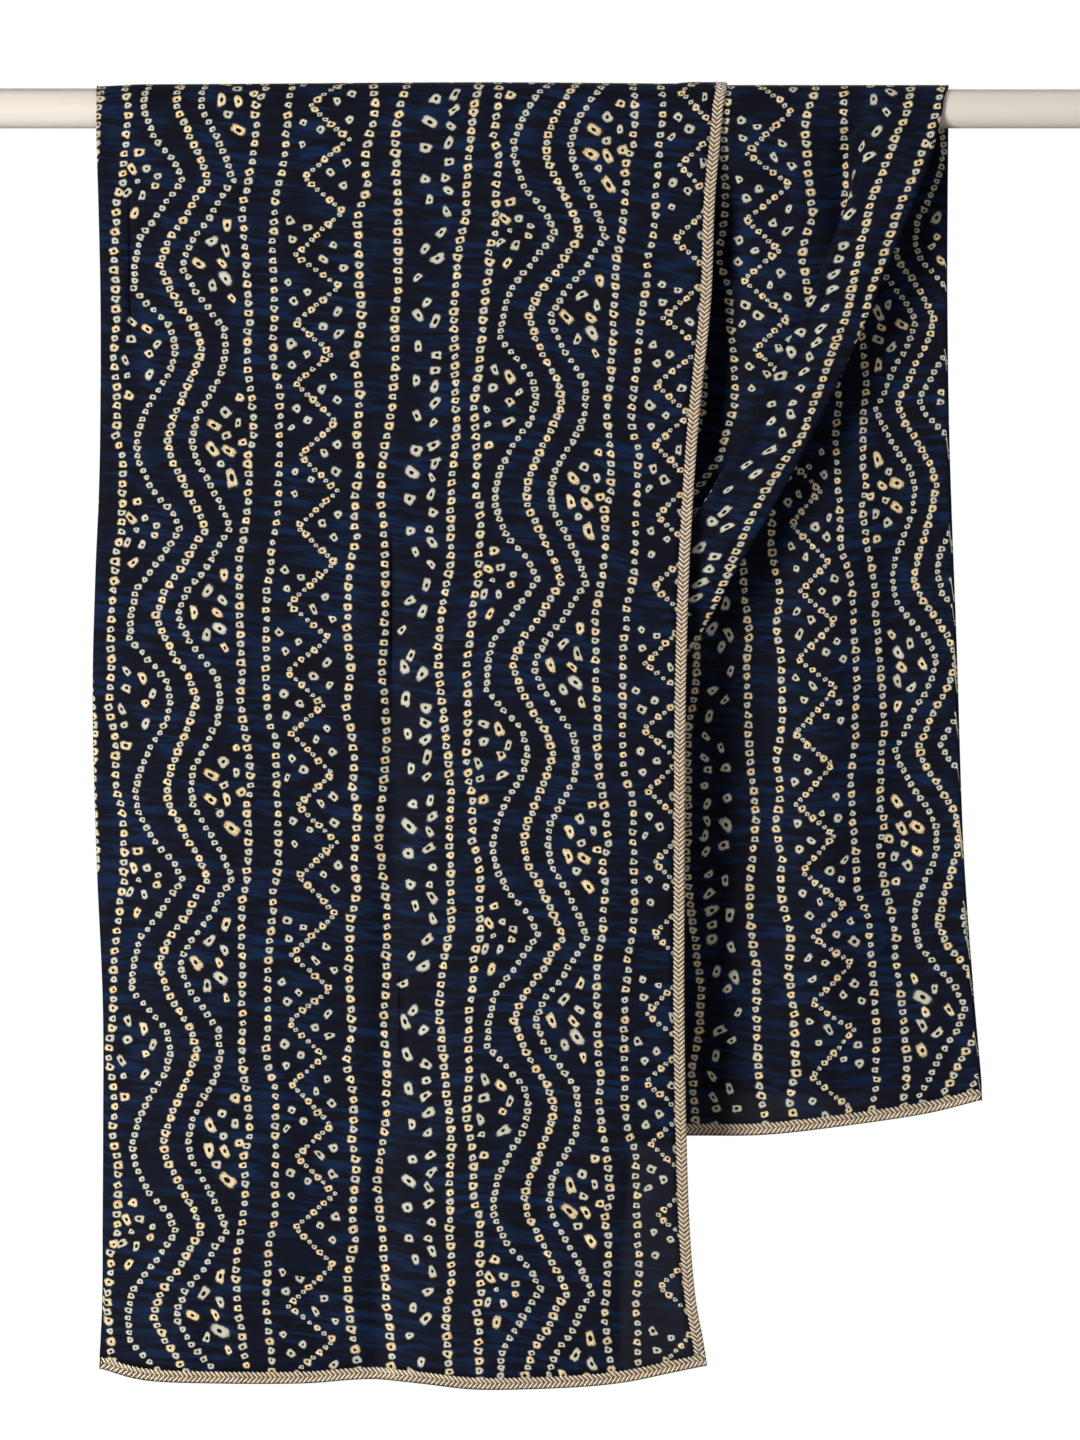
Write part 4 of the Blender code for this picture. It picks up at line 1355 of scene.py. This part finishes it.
def on_braid(outer, inner, runs, run, share):
    """A point of a braid and its normal, from the length along it and the share across, from -1 to 1."""
    index = max(i for i in range(len(runs) - 1) if i == 0 or runs[i] <= run)
    part = (run - runs[index]) / (runs[index + 1] - runs[index])
    a = outer[index].lerp(outer[index + 1], part)
    b = inner[index].lerp(inner[index + 1], part)
    along = outer[index + 1] + inner[index + 1] - outer[index] - inner[index]
    return b.lerp(a, (1 + share) / 2), (a - b).cross(along).normalized()


def make_strand(material, half_width, half_depth):
    """One strand before it is laid: a slim bead, a few dozen faces."""
    strand = bmesh.new()
    bmesh.ops.create_uvsphere(strand, u_segments=STRAND_SIDES, v_segments=STRAND_RINGS, radius=1.0)
    bmesh.ops.scale(strand, vec=(half_width, half_depth, 1.0), verts=strand.verts[:])
    for face in strand.faces:
        face.material_index = material
    return strand


def lay_strand(shape, strand, start, end, normal):
    """Adds a copy of a strand that lies from start to end."""
    along = (end - start).normalized()
    side = normal.cross(along).normalized()
    up = along.cross(side)
    turn = Matrix((side, up, along * (end - start).length * STRAND_REACH))
    place = Matrix.Translation((start + end) / 2) @ turn.transposed().to_4x4()
    laid = strand.copy()
    bmesh.ops.transform(laid, matrix=place, verts=laid.verts[:])
    mesh = bpy.data.meshes.new("strand")
    laid.to_mesh(mesh)
    laid.free()
    shape.from_mesh(mesh)
    bpy.data.meshes.remove(mesh)


def make_braid(name, outer, inner, finishes, to_start=True):
    """A braid between two lines of points. Its chevrons point to the lines' start, or else to their end."""
    shape = bmesh.new()
    strands = [make_strand(1, *GOLD_STRAND), make_strand(2, *SILVER_STRAND)]
    middle = [(a + b) / 2 for a, b in zip(outer, inner)]
    grid_through(shape, [outer, middle, inner])
    bmesh.ops.solidify(shape, geom=shape.faces[:], thickness=TAPE_THICKNESS)
    runs = run_along(middle)
    total = runs[-1]
    step = total / int(2 * total / CHEVRON_PITCH)
    sweep = (1 if to_start else -1) * BRAID_WIDTH / 2 / math.tan(ARM_SLOPE)
    spare = int(abs(sweep) / step) + 1
    for number in range(-spare, int(total / step) + spare):
        run = (number + 0.5) * step
        inside = sorted((-run / sweep, (total - run) / sweep))
        tip, edge = max(-ARMS_CROSS, inside[0]), min(1.0, inside[1])
        if edge - tip < SHORTEST_ARM:
            continue
        for side in (1, -1):
            start, normal = on_braid(outer, inner, runs, run + sweep * tip, side * tip)
            end, _ = on_braid(outer, inner, runs, run + sweep * edge, side * edge)
            lay_strand(shape, strands[number % 2], start, end, normal)
    for strand in strands:
        strand.free()
    return link_mesh(name, shape, finishes)


def hem_lines(point, hem, stations, widen):
    """The lower and upper lines of a hem's braid, from one bound edge round the fold to the other."""
    corners = [("outer", 1.0), *(widen(station) for station in stations), ("under", 1.0)]
    lower = [point(station, hem(station)) for station in corners]
    upper = [point(station, hem(station) + BRAID_WIDTH) for station in corners]
    return lower, upper


def edge_lines(point, layer, ways, width_at):
    """The outer and inner lines of the braid on a layer's side edge, at those ways up it."""
    outer = [point((layer, 1.0), way) for way in ways]
    inner = [point((layer, 1 - BRAID_WIDTH / width_at(way)), way) for way in ways]
    return outer, inner


def dress_front(cloth, threads):
    fold_x, edge_x = read_rows(FRONT_SIDES, FRONT_HEM[0][1])

    def widen(station):
        return inside_binding(station, fold_x, edge_x, UNDER_FLAP_EDGE)

    def with_binding(station, way):
        return front_point(station, way, cloth=False)

    def outer_width(way):
        fold, edge = read_rows(FRONT_SIDES, way)
        return abs(edge - fold)

    def under_width(way):
        return abs(UNDER_FLAP_EDGE - read_rows(FRONT_SIDES, way)[0])

    stations = fold_stations(FRONT_OUTER_STEPS, FRONT_UNDER_STEPS, crease_shares())
    columns, places = [], []
    for station in stations:
        ways = front_ways(front_hem(widen(station)) + BINDING_SHOWS)
        columns.append([front_point(station, way) for way in ways])
        places.append([front_place(station, way) for way in ways])
    panel = make_cloth("front_panel_cloth", columns, places, CLOTH_THICKNESS, cloth)
    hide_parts("front_panel")

    stations = fold_stations(FRONT_OUTER_STEPS, FRONT_UNDER_STEPS)
    lower, upper = hem_lines(with_binding, front_hem, stations, widen)
    hem = make_braid("front_hem_braid", lower, upper, threads)
    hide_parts("braid_front_hem")

    ways = front_ways(FRONT_HEM[-1][1] + BINDING_SHOWS)
    outer, inner = edge_lines(with_binding, "outer", ways, outer_width)
    edge = make_braid("front_edge_braid", outer, inner, threads)
    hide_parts("braid_front_edge")
    ways = front_ways(UNDER_FLAP_HEM[-1][1] + BINDING_SHOWS)
    outer, inner = edge_lines(with_binding, "under", ways, under_width)
    flap = make_braid("under_flap_edge_braid", outer, inner, threads)
    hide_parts("braid_under_flap_edge")
    return panel, [hem, edge, flap]


def dress_back_fall(cloth, threads):
    heights = even_steps(BACK_FALL_END_GAP, 1 - BACK_FALL_END_GAP, BACK_FALL_ROWS)
    columns, places = [], []
    for share in even_steps(0.0, 1.0, BACK_FALL_STEPS):
        column = [back_fall_point(share, height) for height in heights]
        runs = run_along(column)
        columns.append(column)
        across = (1 - share) * BACK_FALL_CLOTH + BACK_FALL_PRINT_STARTS
        places.append([(across, math.pi * OUTER_RADIUS + run) for run in runs])
    fall = make_cloth("back_fall_cloth", columns, places, FOLDED_THICKNESS, cloth)
    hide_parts("back_fall")

    def with_binding(station, height):
        return back_fall_point(station[1], height, cloth=False)

    def width(height):
        fold_x, fold_z, edge_x, edge_z, *_ = read_rows(numbered(BACK_FALL), height)
        return math.hypot(edge_x - fold_x, edge_z - fold_z)

    outer, inner = edge_lines(with_binding, "folded", heights, width)
    edge = make_braid("back_fall_edge_braid", outer, inner, threads)
    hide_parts("braid_back_fall_edge")
    return fall, [edge]


def dress_side_swag(cloth):
    columns, places = side_swag_grid()
    swag = make_cloth("side_swag_cloth", columns, places, FOLDED_THICKNESS, cloth)
    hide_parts("side_swag")
    return swag


def dress_back(cloth, threads):
    top = -SEAM_GAP
    fold_x, near_x, far_x, _ = read_rows(BACK_SIDES, BACK_NEAR_HEM[0][1])

    def widen(station):
        return inside_binding(station, fold_x, near_x, far_x)

    def with_binding(station, z):
        return back_point(station, z, cloth=False)

    def near_width(z):
        fold, near, _, _ = read_rows(BACK_SIDES, z)
        return abs(near - fold)

    def far_width(z):
        fold, _, far, _ = read_rows(BACK_SIDES, z)
        return abs(far - fold)

    stations = fold_stations(BACK_NEAR_STEPS, BACK_FAR_STEPS)
    columns, places = [], []
    for station in stations:
        heights = even_steps(back_hem(widen(station)) + BINDING_SHOWS, top, BACK_ROWS)
        columns.append([back_point(station, z) for z in heights])
        places.append([back_place(station, z) for z in heights])
    panel = make_cloth("back_panel_cloth", columns, places, CLOTH_THICKNESS, cloth)
    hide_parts("back_panel")

    lower, upper = hem_lines(with_binding, back_hem, stations, widen)
    hem = make_braid("back_hem_braid", lower, upper, threads, to_start=False)
    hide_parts("braid_back_hem")

    braids = [hem]
    layers = (("near", "outer", near_width, BACK_NEAR_HEM), ("far", "under", far_width, BACK_FAR_HEM))
    for name, layer, width, hem_rows in layers:
        heights = even_steps(hem_rows[-1][1] + BINDING_SHOWS, top, BACK_ROWS)
        outer, inner = edge_lines(with_binding, layer, heights, width)
        edge = make_braid(f"back_{name}_edge_braid", outer, inner, threads)
        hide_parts(f"braid_back_{name}_edge")
        braids.append(edge)
    return panel, braids


# The studio: the floor's height and half width, its colour and glow.
FLOOR_Z, FLOOR_REACH = -1.05, 6.0
FLOOR_WHITE, FLOOR_GLOW = (0.93, 0.93, 0.93), 0.95
WHITE = (1.0, 1.0, 1.0, 1.0)
# The softboxes: name, place, what it is aimed at, size and watts.
SOFTBOXES = (
    ("key", (-1.7, -2.2, -0.60), (0.0, 0.0, -0.45), (1.0, 1.2), 99.0),
    ("fill", (1.2, -3.2, -0.4), (0.0, 0.0, -0.4), (1.2, 1.2), 15.0),
    ("side", (2.3, -1.1, -0.5), (0.0, 0.0, -0.4), (0.8, 1.4), 4.0),
    ("top", (0.0, -0.2, 2.2), (0.0, 0.0, -0.2), (2.5, 1.2), 20.0),
    ("low", (0.4, -1.4, -2.4), (0.0, 0.0, -0.4), (2.5, 1.2), 9.0),
    ("rear", (0.9, 2.4, 0.8), (0.0, 0.0, -0.35), (2.2, 1.6), 48.0),
)
# How strong the sky is as light, and as the camera sees it.
SKY_LIGHTS, SKY_SHOWS = 0.08, 1.0
CAMERA_PLACE = (0.0, -10.02, -0.383)
# The lens and the sensor's width, in millimetres.
LENS, SENSOR = 400.0, 36.0


def make_stage():
    """A pale floor that shows, and gives the object neither light nor a reflection."""
    finish = Finish("studio_paper", FLOOR_WHITE, roughness=0.9)
    finish.shader.inputs["Emission Color"].default_value = WHITE
    finish.shader.inputs["Emission Strength"].default_value = FLOOR_GLOW
    mesh = bpy.data.meshes.new("studio_floor")
    shape = bmesh.new()
    bmesh.ops.create_grid(shape, x_segments=1, y_segments=1, size=FLOOR_REACH)
    bmesh.ops.translate(shape, vec=(0.0, 0.0, FLOOR_Z), verts=shape.verts[:])
    shape.to_mesh(mesh)
    shape.free()
    mesh.materials.append(finish.material)
    floor = bpy.data.objects.new("studio_floor", mesh)
    floor.visible_diffuse = False
    floor.visible_glossy = False
    bpy.context.scene.collection.objects.link(floor)


def add_softbox(name, place, aim, size, power):
    light = bpy.data.lights.new(name, "AREA")
    light.shape = "RECTANGLE"
    light.size, light.size_y = size
    light.energy = power
    lamp = bpy.data.objects.new(name, light)
    lamp.visible_camera = False
    lamp.location = place
    lamp.rotation_euler = (Vector(aim) - Vector(place)).to_track_quat("-Z", "Y").to_euler()
    bpy.context.scene.collection.objects.link(lamp)


def make_studio():
    make_stage()
    for softbox in SOFTBOXES:
        add_softbox(*softbox)
    world = bpy.data.worlds.new("studio")
    world.use_nodes = True
    tree = world.node_tree
    sky = tree.nodes["Background"]
    sky.inputs["Color"].default_value = WHITE
    path = tree.nodes.new("ShaderNodeLightPath")
    strength = tree.nodes.new("ShaderNodeMapRange")
    strength.inputs["To Min"].default_value = SKY_LIGHTS
    strength.inputs["To Max"].default_value = SKY_SHOWS
    tree.links.new(path.outputs["Is Camera Ray"], strength.inputs["Value"])
    tree.links.new(strength.outputs["Result"], sky.inputs["Strength"])
    scene = bpy.context.scene
    scene.world = world
    scene.view_settings.view_transform = "Standard"

    camera = bpy.data.cameras.new("camera")
    camera.lens = LENS
    camera.sensor_width = SENSOR
    viewer = bpy.data.objects.new("camera", camera)
    viewer.location = CAMERA_PLACE
    viewer.rotation_euler = (math.pi / 2, 0.0, 0.0)
    scene.collection.objects.link(viewer)
    scene.camera = viewer


def main():
    make_studio()
    cloth = make_print()
    gold, silver, tape = (
        make_metal_thread(*thread) for thread in (GOLD_THREAD, SILVER_THREAD, BRAID_GROUND)
    )
    threads = [tape, gold, silver]

    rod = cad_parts["rod"]
    rod.data.materials.clear()
    rod.data.materials.append(make_rod_paint())

    front, front_braids = dress_front(cloth, threads)
    fall, fall_braids = dress_back_fall(cloth, threads)
    swag = dress_side_swag(cloth)
    back, back_braids = dress_back(cloth, threads)


main()
